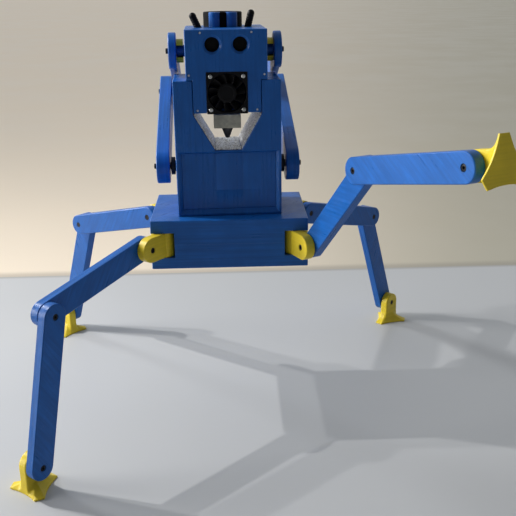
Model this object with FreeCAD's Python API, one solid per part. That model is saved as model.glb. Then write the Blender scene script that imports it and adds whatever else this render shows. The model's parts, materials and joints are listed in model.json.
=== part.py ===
"""Four-legged desk robot with a lifting head carried on two side arms, in millimetres.

Frame: origin at the centre of the base's underside, +Z up, the robot faces -Y.
Every leg is the same set of printed parts: a hub that turns on a vertical pin, a thigh, a shin
and a three-toed foot, bolted side by side.  The left and right arms carry the head straight up.
"""
import FreeCAD, Part
import math
import os

Vec = FreeCAD.Vector

# ---------------------------------------------------------------- driving dimensions
# base
BASE_W = 159.0
BASE_D = 108.4
BASE_H = 50.7
BASE_WALL = 3.0
SLOT_FLOOR = 11.9
SLOT_H = 26.0
CORNER_BLOCK_W = 28.0
CORNER_BLOCK_D = 30.0
BASE_SCREW_X = 40.0
BASE_SCREW_Y = 44.0
BASE_SCREW_BOSS_R = 5.0

# leg joints, measured in the leg's own plane from the hub axis outwards
HUB_X = 68.3
HUB_Y = 42.2
HUB_R = 12.0
HUB_H = 25.4
HIP_REACH = 25.6
THIGH_L = 130.0
SHIN_L = 141.3
LINK_R = 12.0
LINK_T = 9.85
LINK_GAP = 0.3
ANKLE_H = 26.0
EDGE_CHAMFER = 0.7

# rest pose of each leg: side, end, yaw away from the side, thigh pitch, and whether it stands
LEGS = {
    "front_left": dict(side=-1, end=-1, yaw=52.3, pitch=-11.7, lifted=False),
    "front_right": dict(side=1, end=-1, yaw=64.6, pitch=47.0, lifted=True),
    "rear_left": dict(side=-1, end=1, yaw=41.2, pitch=-13.9, lifted=False),
    "rear_right": dict(side=1, end=1, yaw=45.3, pitch=-14.2, lifted=False),
}
ANKLE_DROP = 139.2
LIFTED_SHIN_PITCH = 11.9
LIFTED_FOOT_PITCH = 10.0

# foot
TOE_R = 22.5
TOE_W = 9.4
TOE_SCOOP_R = 13.2
SOLE_T = 2.0
FOOT_BODY_H = 13.0
FOOT_WAIST_R = 13.2

# M3 bolts of the leg links and the arms
BOLT_R = 1.5
BOLT_HOLE_R = 1.57
BOLT_HEAD_R = 2.75
BOLT_HEAD_H = 3.0
BOLT_SOCKET_R = 1.25
HEAD_POCKET_R = 3.15
HEAD_POCKET_DEPTH = 3.3
NUT_R = 3.0
NUT_H = 2.4
NUT_POCKET_R = 3.3
NUT_POCKET_DEPTH = 2.7
HUB_PIN_R = 2.5
HUB_PIN_HOLE_R = 2.56

# torso, with heights counted from the base's top deck
WAIST_TURN = 1.9
DECK_GAP = 0.3
TORSO_W = 105.7
TORSO_FRONT = -36.6
TORSO_DEPTH = 69.3
CHEEK_TOP = 135.3
TORSO_WALL = 3.0
MOUTH_TOP_X = 33.9
MOUTH_TOP_Z = 102.8
MOUTH_FLOOR_X = 13.1
MOUTH_FLOOR_Z = 67.0
LINER_T = 1.2
LINER_SETBACK = 1.0
RECESS_DEPTH = 3.0
RECESS_OUTER = (50.5, 2.3, 66.0)
RECESS_INNER = (47.3, 6.5, 64.0)
PANEL_T = 2.4
PANEL_CLEAR = 0.15
PANEL_LEDGE = 3.0
COVER_CLEAR = 0.2
SPINDLE_R = 4.0
SPINDLE_HOLE_R = 4.07

# head, with heights counted from the base's top deck
HEAD_W = 79.4
HEAD_NECK_W = 66.8
HEAD_BOTTOM = 104.0
HEAD_SHOULDER = 135.7
HEAD_TOP = 182.9
HEAD_DEPTH = 86.0
FACE_T = 3.0
HEAD_WALL = 2.6
EYE_X = 13.5
EYE_Z = 169.0
EYE_R = 7.0
EYE_RIM_R = 9.2
FAN_SIZE = 40.0
FAN_DEPTH = 10.5
FAN_PROUD = 0.5
FAN_Z = 123.15
FAN_BORE_R = 18.9
FAN_HOLE_PITCH = 32.0
FAN_HUB_R = 9.5
FAN_BLADES = 11
FACE_SCREWS = [(24.5, 180.0), (36.6, 140.5), (29.2, 106.6)]
HOT_END_Y = -12.0
BLOCK_W = 27.4
BLOCK_D = 16.0
BLOCK_BOTTOM = 86.0
BLOCK_H = 14.0
NOZZLE_TIP_Z = 75.4
CROWN_X = -1.2
CROWN_Y = 22.0
CROWN_R = 19.6
CROWN_H = 14.4
POST_R = 6.2
POST_OFFSET_X = 8.0
POST_Y = 7.0
ANTENNA_R = 3.5
ANTENNA_XS = {"left": -26.4, "right": 23.4}
ANTENNA_Y = 5.0
ANTENNA_LS = {"left": 12.0, "right": 13.5}
ANTENNA_TILTS = {"left": -24.0, "right": 14.5}

# arms, with heights counted from the base's top deck
ARM_PIVOT_Y = 8.0
SHOULDER_Z = 43.3
HEAD_PIVOT_Z = 160.6
ARM_L = 165.0
ARM_END_R = 18.0
LOWER_ARM_X = 60.8
LOWER_ARM_T = 13.6
UPPER_ARM_X = 49.0
UPPER_ARM_T = 7.6
UPPER_ARM_SHAFT = 28.0
SHOULDER_BOSS_R = 5.8
SHOULDER_BOSS_L = 2.5
BEARING_R = 9.25
BEARING_T = 4.0
HEAD_BOSS_R = 5.8
CLIP_R = 11.6
CLIP_START = 42.1
CLIP_L = 6.3
RUN_GAP = 0.3

# ---------------------------------------------------------------- derived dimensions
HALF_GAP = LINK_GAP / 2
OUTER_V = HALF_GAP + LINK_T
FOOT_CENTRE_V = -(HALF_GAP + OUTER_V) / 2
HIP_Z = SLOT_FLOOR + SLOT_H / 2
HUB_Z0 = HIP_Z - HUB_H / 2
SPLIT_Z = BASE_H / 2
GROUND_Z = -ANKLE_DROP - ANKLE_H
TORSO_BACK = TORSO_FRONT + TORSO_DEPTH
HEAD_BACK = TORSO_FRONT + HEAD_DEPTH
ELBOW_RISE = (HEAD_PIVOT_Z - SHOULDER_Z) / 2
ARM_SLOPE = math.degrees(math.asin(ELBOW_RISE / ARM_L))
ELBOW_Y = ARM_PIVOT_Y + math.sqrt(ARM_L ** 2 - ELBOW_RISE ** 2)
ELBOW_Z = SHOULDER_Z + ELBOW_RISE


# ---------------------------------------------------------------- shape helpers
def box(x0, x1, y0, y1, z0, z1):
    return Part.makeBox(x1 - x0, y1 - y0, z1 - z0, Vec(x0, y0, z0))


def centred_box(half_x, half_y, z0, z1):
    return box(-half_x, half_x, -half_y, half_y, z0, z1)


def cylinder(radius, length, start, axis=(0, 0, 1)):
    return Part.makeCylinder(radius, length, Vec(*start), Vec(*axis))


def fuse(shapes):
    first, rest = shapes[0], shapes[1:]
    joined = first.multiFuse(rest) if rest else first
    return joined.removeSplitter()


def prism_xz(points, y0, y1):
    """Straight-sided outline in the XZ plane, extruded along Y."""
    corners = [Vec(x, y0, z) for x, z in points]
    face = Part.Face(Part.makePolygon(corners + corners[:1]))
    return face.extrude(Vec(0, y1 - y0, 0))


def hexagon_y(across_corners_r, y0, y1):
    points = []
    for corner in range(6):
        angle = math.radians(60 * corner)
        points.append((across_corners_r * math.cos(angle), across_corners_r * math.sin(angle)))
    return prism_xz(points, y0, y1)


def moved(shape, x=0.0, y=0.0, z=0.0):
    copy = shape.copy()
    copy.translate(Vec(x, y, z))
    return copy


def turned(shape, angle, axis=(0, 0, 1), centre=(0, 0, 0)):
    copy = shape.copy()
    copy.rotate(Vec(*centre), Vec(*axis), angle)
    return copy


def mirrored_x(shape):
    return shape.mirror(Vec(0, 0, 0), Vec(1, 0, 0))


def both_sides(shape):
    return [shape, mirrored_x(shape)]


def chamfer_rim(shape, size, y_planes):
    """Chamfer every edge that lies wholly in one of the given Y planes and bounds the outline."""
    edges = []
    for edge in shape.Edges:
        bounds = edge.BoundBox
        small_hole = edge.Length < 2 * math.pi * 4.0 and edge.isClosed()
        for plane in y_planes:
            flat = abs(bounds.YMin - plane) < 1e-4 and abs(bounds.YMax - plane) < 1e-4
            if flat and not small_hole:
                edges.append(edge)
    return shape.makeChamfer(size, edges)


# ---------------------------------------------------------------- leg parts, in the leg's frame
# X runs from the hub axis outwards, Z up; Y is "v" times the leg's hand, so that the ear and the
# shin sit on the v > 0 side of the joint plane and the thigh and the foot's ear on the v < 0 side.
def v_span(hand, v0, v1):
    return min(hand * v0, hand * v1), max(hand * v0, hand * v1)


def v_cylinder(hand, radius, v0, v1, x=0.0, z=0.0):
    y0, y1 = v_span(hand, v0, v1)
    return cylinder(radius, y1 - y0, (x, y0, z), (0, 1, 0))


def stadium(hand, length, radius, v0, v1):
    """Round-ended plate from a pivot at the origin to a pivot at x = length."""
    y0, y1 = v_span(hand, v0, v1)
    bar = box(0, length, y0, y1, -radius, radius)
    ends = [v_cylinder(hand, radius, v0, v1, x) for x in (0, length)]
    return chamfer_rim(fuse([bar] + ends), EDGE_CHAMFER, (y0, y1))


def head_pocket(hand, x=0.0, z=0.0):
    return v_cylinder(hand, HEAD_POCKET_R, OUTER_V - HEAD_POCKET_DEPTH, OUTER_V + 1, x, z)


def nut_pocket(hand, x=0.0, z=0.0):
    return v_cylinder(hand, NUT_POCKET_R, -OUTER_V - 1, -OUTER_V + NUT_POCKET_DEPTH, x, z)


def bolt_hole(hand, x=0.0, z=0.0):
    return v_cylinder(hand, BOLT_HOLE_R, -OUTER_V - 1, OUTER_V + 1, x, z)


def link_bolt(hand):
    """Cap screw sunk in the v > 0 face, with its nut sunk in the v < 0 face."""
    seat = OUTER_V - HEAD_POCKET_DEPTH
    nut_out = -OUTER_V + 0.15
    head = v_cylinder(hand, BOLT_HEAD_R, seat, seat + BOLT_HEAD_H)
    y0, y1 = v_span(hand, seat + 1.4, seat + BOLT_HEAD_H + 1)
    head = head.cut(hexagon_y(BOLT_SOCKET_R * 1.15, y0, y1))
    shank = v_cylinder(hand, BOLT_R, nut_out, seat)
    n0, n1 = v_span(hand, nut_out, nut_out + NUT_H)
    nut = hexagon_y(NUT_R, n0, n1).cut(v_cylinder(hand, BOLT_R, nut_out - 1, nut_out + NUT_H + 1))
    return [fuse([head, shank]), nut]


def hip_bracket(hand):
    hub = cylinder(HUB_R, HUB_H, (0, 0, HUB_Z0))
    y0, y1 = v_span(hand, HALF_GAP, OUTER_V)
    ear = moved(stadium(hand, HIP_REACH, HUB_H / 2, HALF_GAP, OUTER_V), z=HIP_Z)
    root = box(-HUB_H, 0, y0 - 1, y1 + 1, HUB_Z0 - 1, HUB_Z0 + HUB_H + 1)
    body = fuse([hub, ear.cut(root)])
    body = body.cut(cylinder(HUB_PIN_HOLE_R, HUB_H + 2, (0, 0, HUB_Z0 - 1)))
    return body.cut(bolt_hole(hand, HIP_REACH, HIP_Z)).cut(head_pocket(hand, HIP_REACH, HIP_Z))


def thigh(hand):
    plate = stadium(hand, THIGH_L, LINK_R, -OUTER_V, -HALF_GAP)
    for x in (0, THIGH_L):
        plate = plate.cut(bolt_hole(hand, x)).cut(nut_pocket(hand, x))
    return plate


def shin(hand):
    plate = stadium(hand, SHIN_L, LINK_R, HALF_GAP, OUTER_V)
    for x in (0, SHIN_L):
        plate = plate.cut(bolt_hole(hand, x)).cut(head_pocket(hand, x))
    return plate


def toe_outline():
    """Three blunt toes joined by hollow arcs, as a closed wire in the sole plane."""
    edges = []
    corners = []
    for toe in range(3):
        heading = math.radians(120 * toe)
        out = Vec(math.cos(heading), math.sin(heading), 0)
        across = Vec(-out.y, out.x, 0)
        corners.append((out * TOE_R - across * (TOE_W / 2), out * TOE_R + across * (TOE_W / 2)))
    for toe in range(3):
        start, end = corners[toe]
        edges.append(Part.LineSegment(start, end).toShape())
        following = corners[(toe + 1) % 3][0]
        middle = math.radians(120 * toe + 60)
        inner = Vec(math.cos(middle), math.sin(middle), 0) * (TOE_R - TOE_SCOOP_R * 0.72)
        edges.append(Part.Arc(end, inner, following).toShape())
    return Part.Wire(edges)


def flare_profile():
    """Body of revolution that narrows from the toes to the foot's waist along a hollow curve."""
    low = Vec(TOE_R + 4, 0, SOLE_T)
    high = Vec(FOOT_WAIST_R, 0, FOOT_BODY_H)
    mid = Vec(FOOT_WAIST_R + 2.6, 0, SOLE_T + 3.6)
    edges = [
        Part.LineSegment(Vec(0, 0, 0), Vec(TOE_R + 4, 0, 0)).toShape(),
        Part.LineSegment(Vec(TOE_R + 4, 0, 0), low).toShape(),
        Part.Arc(low, mid, high).toShape(),
        Part.LineSegment(high, Vec(0, 0, FOOT_BODY_H)).toShape(),
        Part.LineSegment(Vec(0, 0, FOOT_BODY_H), Vec(0, 0, 0)).toShape(),
    ]
    return Part.Face(Part.Wire(edges)).revolve(Vec(0, 0, 0), Vec(0, 0, 1), 360)


def foot(hand):
    """Foot with its ankle pivot at the origin and the sole facing down."""
    sole = Part.Face(toe_outline()).extrude(Vec(0, 0, FOOT_BODY_H + 1))
    body = turned(sole, 180 if hand > 0 else 0).common(flare_profile())
    body = moved(body, y=hand * FOOT_CENTRE_V, z=-ANKLE_H)
    y0, y1 = v_span(hand, -OUTER_V, -HALF_GAP)
    web = box(-LINK_R, LINK_R, y0, y1, -ANKLE_H + FOOT_BODY_H - 6, 0)
    ear = fuse([web, v_cylinder(hand, LINK_R, -OUTER_V, -HALF_GAP)])
    ear = ear.cut(box(-LINK_R - 1, LINK_R + 1, y0 - 1, y1 + 1, -ANKLE_H - 1, -ANKLE_H + SOLE_T))
    piece = fuse([body, ear])
    return piece.cut(bolt_hole(hand)).cut(nut_pocket(hand))


def leg_frame(leg):
    """Heading of the leg's plane in degrees, its hand, and its hub position."""
    yaw = math.radians(leg["yaw"])
    side, end = leg["side"], leg["end"]
    heading = math.degrees(math.atan2(end * math.sin(yaw), side * math.cos(yaw)))
    return heading, side * end, (side * HUB_X, end * HUB_Y)


def leg_pivots(leg):
    """Positions of the hip, knee and ankle in the leg's plane, and the pitch of each piece."""
    pitch = leg["pitch"]
    hip = (HIP_REACH, HIP_Z)
    knee = (hip[0] + THIGH_L * math.cos(math.radians(pitch)),
            hip[1] + THIGH_L * math.sin(math.radians(pitch)))
    if leg["lifted"]:
        shin_pitch = LIFTED_SHIN_PITCH
        foot_pitch = LIFTED_FOOT_PITCH
    else:
        shin_pitch = -math.degrees(math.asin((knee[1] + ANKLE_DROP) / SHIN_L))
        foot_pitch = -90.0
    ankle = (knee[0] + SHIN_L * math.cos(math.radians(shin_pitch)),
             knee[1] + SHIN_L * math.sin(math.radians(shin_pitch)))
    return hip, knee, ankle, pitch, shin_pitch, foot_pitch


def placed_in_leg(shape, leg, pivot=(0, 0), pitch=0.0):
    heading, _, hub = leg_frame(leg)
    posed = turned(shape, -pitch, (0, 1, 0))
    posed = moved(posed, x=pivot[0], z=pivot[1])
    return moved(turned(posed, heading), x=hub[0], y=hub[1])


def leg_parts(name, leg):
    _, hand, _ = leg_frame(leg)
    hip, knee, ankle, pitch, shin_pitch, foot_pitch = leg_pivots(leg)
    bolt = link_bolt(hand)
    shin_bolts = [placed_in_leg(piece, leg, knee, shin_pitch) for piece in bolt]
    shin_bolts += [placed_in_leg(piece, leg, ankle, shin_pitch) for piece in bolt]
    return {
        name + "_hip_bracket": [placed_in_leg(hip_bracket(hand), leg)],
        name + "_hip_bolt": [placed_in_leg(piece, leg, hip) for piece in bolt],
        name + "_thigh": [placed_in_leg(thigh(hand), leg, hip, pitch)],
        name + "_shin": [placed_in_leg(shin(hand), leg, knee, shin_pitch)],
        name + "_shin_bolts": shin_bolts,
        name + "_foot": [placed_in_leg(foot(hand), leg, ankle, foot_pitch + 90)],
    }


# ---------------------------------------------------------------- base
def corner_slots():
    """Room for the four hubs: a round pocket that opens to the side and to the end."""
    slots = []
    roof = SLOT_FLOOR + SLOT_H
    pocket_r = HUB_R + 0.5
    for side in (-1, 1):
        for end in (-1, 1):
            pocket = cylinder(pocket_r, SLOT_H, (HUB_X, HUB_Y, SLOT_FLOOR))
            out = box(HUB_X, BASE_W, HUB_Y - pocket_r, BASE_D, SLOT_FLOOR, roof)
            ahead = box(HUB_X - pocket_r, BASE_W, HUB_Y, BASE_D, SLOT_FLOOR, roof)
            corner = fuse([pocket, out, ahead])
            if side < 0:
                corner = mirrored_x(corner)
            if end < 0:
                corner = corner.mirror(Vec(0, 0, 0), Vec(0, 1, 0))
            slots.append(corner)
    return slots


def base_hollow(z0, z1):
    """Cross-shaped space between the four solid corner blocks."""
    inner_x = BASE_W / 2 - BASE_WALL
    inner_y = BASE_D / 2 - BASE_WALL
    long_way = centred_box(inner_x, BASE_D / 2 - CORNER_BLOCK_D, z0, z1)
    cross_way = centred_box(BASE_W / 2 - CORNER_BLOCK_W, inner_y, z0, z1)
    return fuse([long_way, cross_way])


def at_base_screws(make):
    return [make(x, y) for x in (-BASE_SCREW_X, BASE_SCREW_X) for y in (-BASE_SCREW_Y, BASE_SCREW_Y)]


def at_hubs(make):
    return [make(x, y) for x in (-HUB_X, HUB_X) for y in (-HUB_Y, HUB_Y)]


def base_outline(z0, z1, edge_z):
    """Block with its upright edges and its outer face edge chamfered."""
    block = centred_box(BASE_W / 2, BASE_D / 2, z0, z1)
    edges = []
    for edge in block.Edges:
        bounds = edge.BoundBox
        upright = bounds.ZLength > 1
        outer = abs(bounds.ZMin - edge_z) < 1e-6 and abs(bounds.ZMax - edge_z) < 1e-6
        if upright or outer:
            edges.append(edge)
    return block.makeChamfer(EDGE_CHAMFER, edges)


def base_lower_shell():
    body = base_outline(0, SPLIT_Z, 0).cut(base_hollow(BASE_WALL, SPLIT_Z + 1))
    bosses = at_base_screws(lambda x, y: cylinder(BASE_SCREW_BOSS_R, SPLIT_Z - 1, (x, y, 1)))
    body = fuse([body] + bosses)
    holes = at_base_screws(lambda x, y: cylinder(BOLT_HOLE_R, BASE_H, (x, y, -1)))
    pockets = at_base_screws(lambda x, y: cylinder(HEAD_POCKET_R, HEAD_POCKET_DEPTH + 1, (x, y, -1)))
    pins = at_hubs(lambda x, y: cylinder(HUB_PIN_HOLE_R, BASE_H, (x, y, 4)))
    return body.cut(corner_slots() + holes + pockets + pins)


def base_upper_shell():
    body = base_outline(SPLIT_Z, BASE_H, BASE_H).cut(base_hollow(SPLIT_Z - 1, BASE_H - BASE_WALL))
    boss_h = BASE_H - SPLIT_Z - 1
    bosses = at_base_screws(lambda x, y: cylinder(BASE_SCREW_BOSS_R, boss_h, (x, y, SPLIT_Z)))
    spindle_boss = cylinder(SPINDLE_R + 5, 9, (0, 0, BASE_H - 10))
    body = fuse([body, spindle_boss] + bosses)
    holes = at_base_screws(lambda x, y: cylinder(BOLT_HOLE_R, 16, (x, y, SPLIT_Z - 1)))
    pins = at_hubs(lambda x, y: cylinder(HUB_PIN_HOLE_R, SLOT_FLOOR + SLOT_H + 6 - SPLIT_Z, (x, y, SPLIT_Z)))
    spindle = cylinder(SPINDLE_HOLE_R, 20, (0, 0, BASE_H - 15))
    return body.cut(corner_slots() + holes + pins + [spindle])


def base_screws():
    def screw(x, y):
        seat = HEAD_POCKET_DEPTH
        head = cylinder(BOLT_HEAD_R, BOLT_HEAD_H, (x, y, seat - BOLT_HEAD_H))
        socket = cylinder(BOLT_SOCKET_R, 1.6, (x, y, seat - BOLT_HEAD_H))
        shank = cylinder(BOLT_R, 34, (x, y, seat))
        return fuse([head, shank]).cut(socket)
    return at_base_screws(screw)


def hub_pins():
    length = SLOT_H + 12
    return at_hubs(lambda x, y: cylinder(HUB_PIN_R, length - 0.4, (x, y, SLOT_FLOOR - 6)))


def waist_spindle():
    """Shoulder bolt that the torso turns on, with its nut and washer inside the base."""
    top = BASE_H + DECK_GAP + TORSO_WALL + 0.3
    shank = cylinder(SPINDLE_R, top - BASE_H + 17.0, (0, 0, BASE_H - 17.0))
    head = cylinder(7.0, 4.0, (0, 0, top))
    socket = cylinder(3.0, 2.4, (0, 0, top + 1.8))
    bolt = fuse([shank, head]).cut(socket)
    washer = cylinder(8.0, 1.2, (0, 0, BASE_H - 11.4)).cut(cylinder(SPINDLE_HOLE_R, 3, (0, 0, BASE_H - 12)))
    nut = turned(hexagon_y(7.5, 0, 4.5), 90, (1, 0, 0))
    nut = moved(nut, z=BASE_H - 11.5 - 4.5).cut(cylinder(SPINDLE_R, 9, (0, 0, BASE_H - 18)))
    return [bolt, washer, nut]


# ---------------------------------------------------------------- torso, heights from the deck
def torso_outline(inset):
    """Front outline of the torso, shrunk evenly by inset: a block with a V-shaped mouth."""
    rise = MOUTH_TOP_Z - MOUTH_FLOOR_Z
    run = MOUTH_TOP_X - MOUTH_FLOOR_X
    slope = math.hypot(rise, run)
    half = TORSO_W / 2 - inset
    top_x = MOUTH_TOP_X + inset
    floor_z = MOUTH_FLOOR_Z - inset
    slant_shift = inset * slope / rise
    floor_x = MOUTH_FLOOR_X + slant_shift - inset * run / rise
    top_z = MOUTH_TOP_Z + (inset - slant_shift) * rise / run
    right = [(half, inset), (half, CHEEK_TOP - inset), (top_x, CHEEK_TOP - inset), (top_x, top_z),
             (floor_x, floor_z)]
    left = [(-x, z) for x, z in reversed(right)]
    return right + left


def frame_block(limits, y0, y1, grow=0.0):
    half, z0, z1 = limits
    return box(-half - grow, half + grow, y0, y1, z0 - grow, z1 + grow)


def recess():
    """Sloped sinking in the lower front, with the panel's own opening behind it."""
    def ring(limits, y):
        half, z0, z1 = limits
        corners = [Vec(-half, y, z0), Vec(half, y, z0), Vec(half, y, z1), Vec(-half, y, z1)]
        return Part.makePolygon(corners + corners[:1])
    mouth = TORSO_FRONT
    sink = Part.makeLoft([ring(RECESS_OUTER, mouth), ring(RECESS_INNER, mouth + RECESS_DEPTH)], True, True)
    seat = frame_block(RECESS_INNER, mouth + RECESS_DEPTH, mouth + RECESS_DEPTH + PANEL_T, PANEL_CLEAR)
    window = frame_block(RECESS_INNER, mouth + RECESS_DEPTH, 0, -PANEL_LEDGE)
    return [sink, seat, window]


def torso_shell():
    front_wall = RECESS_DEPTH + PANEL_T + 2.0
    body = prism_xz(torso_outline(0), TORSO_FRONT, TORSO_BACK)
    outer_edges = []
    for edge in body.Edges:
        bounds = edge.BoundBox
        at_front = abs(bounds.YMin - TORSO_FRONT) < 1e-4 and abs(bounds.YMax - TORSO_FRONT) < 1e-4
        corner = bounds.YLength > 1 and abs(abs(bounds.Center.x) - TORSO_W / 2) < 1e-4
        if at_front or corner:
            outer_edges.append(edge)
    body = body.makeChamfer(EDGE_CHAMFER, outer_edges)
    body = body.cut(prism_xz(torso_outline(TORSO_WALL), TORSO_FRONT + front_wall, TORSO_BACK + 1))
    body = body.cut(recess())
    for side in (-1, 1):
        boss_axis = (side, 0, 0)
        wall_x = side * TORSO_W / 2
        boss = cylinder(SHOULDER_BOSS_R, SHOULDER_BOSS_L + 1, (wall_x - side, ARM_PIVOT_Y, SHOULDER_Z), boss_axis)
        body = fuse([body, boss])
        hole = cylinder(BOLT_HOLE_R, 12, (wall_x - side * 6, ARM_PIVOT_Y, SHOULDER_Z), boss_axis)
        body = body.cut(hole)
    lugs = []
    for x, z in rear_screw_places():
        lugs.append(cylinder(3.6, 9.0, (x, TORSO_BACK - TORSO_WALL - 9.2, z), (0, 1, 0)))
    body = fuse([body] + lugs)
    for x, z in rear_screw_places():
        body = body.cut(cylinder(BOLT_HOLE_R, 9.2, (x, TORSO_BACK - TORSO_WALL - 8.2, z), (0, 1, 0)))
    return body.cut(cylinder(SPINDLE_HOLE_R, 10, (0, 0, -2)))


def rear_screw_places():
    half = TORSO_W / 2 - TORSO_WALL - 3.4
    return [(side * half, z) for side in (-1, 1) for z in (8.0, 128.0)]


def torso_rear_cover():
    inset = TORSO_WALL + COVER_CLEAR
    plate = prism_xz(torso_outline(inset), TORSO_BACK - TORSO_WALL, TORSO_BACK)
    for x, z in rear_screw_places():
        plate = plate.cut(cylinder(BOLT_HOLE_R, 8, (x, TORSO_BACK - 5, z), (0, 1, 0)))
    for row in range(5):
        z = 22.0 + 8.0 * row
        plate = plate.cut(box(-22, 22, TORSO_BACK - 5, TORSO_BACK + 1, z, z + 3.0))
    return plate


def torso_screws():
    screws = []
    for x, z in rear_screw_places():
        head = cylinder(BOLT_HEAD_R, 2.0, (x, TORSO_BACK, z), (0, 1, 0))
        shank = cylinder(BOLT_R, 9.0, (x, TORSO_BACK - 9.0, z), (0, 1, 0))
        socket = cylinder(BOLT_SOCKET_R, 2.0, (x, TORSO_BACK + 0.9, z), (0, 1, 0))
        screws.append(fuse([head, shank]).cut(socket))
    return screws


def torso_front_panel():
    y0 = TORSO_FRONT + RECESS_DEPTH
    return frame_block(RECESS_INNER, y0, y0 + PANEL_T)


def mouth_liners():
    """Grey lining: one plate on each slanted cheek and one on the mouth's floor."""
    run = MOUTH_TOP_X - MOUTH_FLOOR_X
    rise = MOUTH_TOP_Z - MOUTH_FLOOR_Z
    slope = math.hypot(run, rise)
    along = (run / slope, rise / slope)
    inward = (-along[1], along[0])

    def on_slant(distance, lift):
        return (MOUTH_FLOOR_X + along[0] * distance + inward[0] * lift,
                MOUTH_FLOOR_Z + along[1] * distance + inward[1] * lift)
    y0 = TORSO_FRONT + LINER_SETBACK
    low, high = 1.6, slope - 0.8
    slanted = prism_xz([on_slant(low, 0), on_slant(high, 0), on_slant(high, LINER_T), on_slant(low, LINER_T)],
                       y0, TORSO_BACK)
    floor = box(-MOUTH_FLOOR_X + 0.4, MOUTH_FLOOR_X - 0.4, y0, TORSO_BACK, MOUTH_FLOOR_Z, MOUTH_FLOOR_Z + LINER_T)
    return slanted, floor


def shoulder_bearing():
    """Dark flanged spacer between the torso's boss and the lower arm, on the +X side."""
    start = TORSO_W / 2 + SHOULDER_BOSS_L
    flange = cylinder(BEARING_R, BEARING_T, (start, ARM_PIVOT_Y, SHOULDER_Z), (1, 0, 0))
    lip_l = LOWER_ARM_X - RUN_GAP - start
    lip = cylinder(4.0, lip_l, (start, ARM_PIVOT_Y, SHOULDER_Z), (1, 0, 0))
    hole = cylinder(BOLT_HOLE_R, 20, (start - 5, ARM_PIVOT_Y, SHOULDER_Z), (1, 0, 0))
    return fuse([flange, lip]).cut(hole)


def side_bolt(inner_x, outer_x, y, z):
    """Cap screw along +X with its head standing proud of the arm."""
    shank = cylinder(BOLT_R, outer_x - inner_x, (inner_x, y, z), (1, 0, 0))
    head = cylinder(BOLT_HEAD_R, BOLT_HEAD_H, (outer_x, y, z), (1, 0, 0))
    socket = cylinder(BOLT_SOCKET_R, BOLT_HEAD_H, (outer_x + 1.4, y, z), (1, 0, 0))
    return fuse([shank, head]).cut(socket)


def shoulder_bolt():
    return side_bolt(TORSO_W / 2 - TORSO_WALL - 3, LOWER_ARM_X + LOWER_ARM_T + 0.1, ARM_PIVOT_Y, SHOULDER_Z)


def controller_board():
    """Small circuit board on four posts inside the torso's lower compartment."""
    y0 = -6.0
    board = box(-34, 34, y0, y0 + 1.6, 12, 60)
    chips = [box(-12, 6, y0 - 2.4, y0, 28, 44), box(14, 28, y0 - 4, y0, 18, 30), box(-30, -18, y0 - 6, y0, 40, 54)]
    return [fuse([board] + chips)]


# ---------------------------------------------------------------- arms
def arm_link(x0, thickness, shaft_w):
    """Flat link on the +X side, from a pivot at the origin to one at y = ARM_L."""
    ends = [cylinder(ARM_END_R, thickness, (x0, y, 0), (1, 0, 0)) for y in (0, ARM_L)]
    bar = box(x0, x0 + thickness, 0, ARM_L, -shaft_w / 2, shaft_w / 2)
    link = fuse(ends + [bar])
    if shaft_w < 2 * ARM_END_R:
        notches = [e for e in link.Edges if abs(e.BoundBox.XLength - thickness) < 1e-3
                   and abs(abs(e.BoundBox.Center.z) - shaft_w / 2) < 1e-3]
        link = link.makeFillet(9.0, notches)
    rim = []
    for edge in link.Edges:
        bounds = edge.BoundBox
        if bounds.XLength < 1e-4:
            rim.append(edge)
    link = link.makeChamfer(EDGE_CHAMFER, rim)
    for y in (0, ARM_L):
        link = link.cut(cylinder(BOLT_HOLE_R, thickness + 2, (x0 - 1, y, 0), (1, 0, 0)))
    return link


def lower_arm():
    link = turned(arm_link(LOWER_ARM_X, LOWER_ARM_T, 2 * ARM_END_R), ARM_SLOPE, (1, 0, 0))
    return moved(link, y=ARM_PIVOT_Y, z=SHOULDER_Z)


def upper_arm():
    link = turned(arm_link(UPPER_ARM_X, UPPER_ARM_T, UPPER_ARM_SHAFT), -ARM_SLOPE, (1, 0, 0))
    return moved(link, y=ARM_PIVOT_Y, z=HEAD_PIVOT_Z)


def elbow_hardware():
    outer = LOWER_ARM_X + LOWER_ARM_T + 0.1
    nut_x = UPPER_ARM_X - NUT_H - RUN_GAP
    bolt = side_bolt(nut_x - 0.8, outer, ELBOW_Y, ELBOW_Z)
    nut = turned(hexagon_y(NUT_R, 0, NUT_H), -90)
    nut = moved(nut, x=nut_x, y=ELBOW_Y, z=ELBOW_Z)
    nut = nut.cut(cylinder(BOLT_R, 8, (nut_x - 2, ELBOW_Y, ELBOW_Z), (1, 0, 0)))
    start = UPPER_ARM_X + UPPER_ARM_T + RUN_GAP
    spacer_l = LOWER_ARM_X - start
    spacer = cylinder(6.0, spacer_l, (start, ELBOW_Y, ELBOW_Z), (1, 0, 0))
    spacer = spacer.cut(cylinder(BOLT_R, spacer_l + 2, (start - 1, ELBOW_Y, ELBOW_Z), (1, 0, 0)))
    return [bolt, nut, spacer]


def head_pivot_bolt():
    return side_bolt(HEAD_W / 2 + 1.0, UPPER_ARM_X + UPPER_ARM_T + 0.1, ARM_PIVOT_Y, HEAD_PIVOT_Z)


def head_clip():
    """Snap-on collar round the head's boss, open to the front."""
    axis = (1, 0, 0)
    ring = cylinder(CLIP_R, CLIP_L, (CLIP_START, ARM_PIVOT_Y, HEAD_PIVOT_Z), axis)
    bore = cylinder(HEAD_BOSS_R + 0.05, CLIP_L + 2, (CLIP_START - 1, ARM_PIVOT_Y, HEAD_PIVOT_Z), axis)
    half = HEAD_BOSS_R + 0.05
    gap = box(CLIP_START - 1, CLIP_START + CLIP_L + 1, ARM_PIVOT_Y - 20, ARM_PIVOT_Y,
              HEAD_PIVOT_Z - half, HEAD_PIVOT_Z + half)
    return ring.cut([bore, gap])


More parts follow.
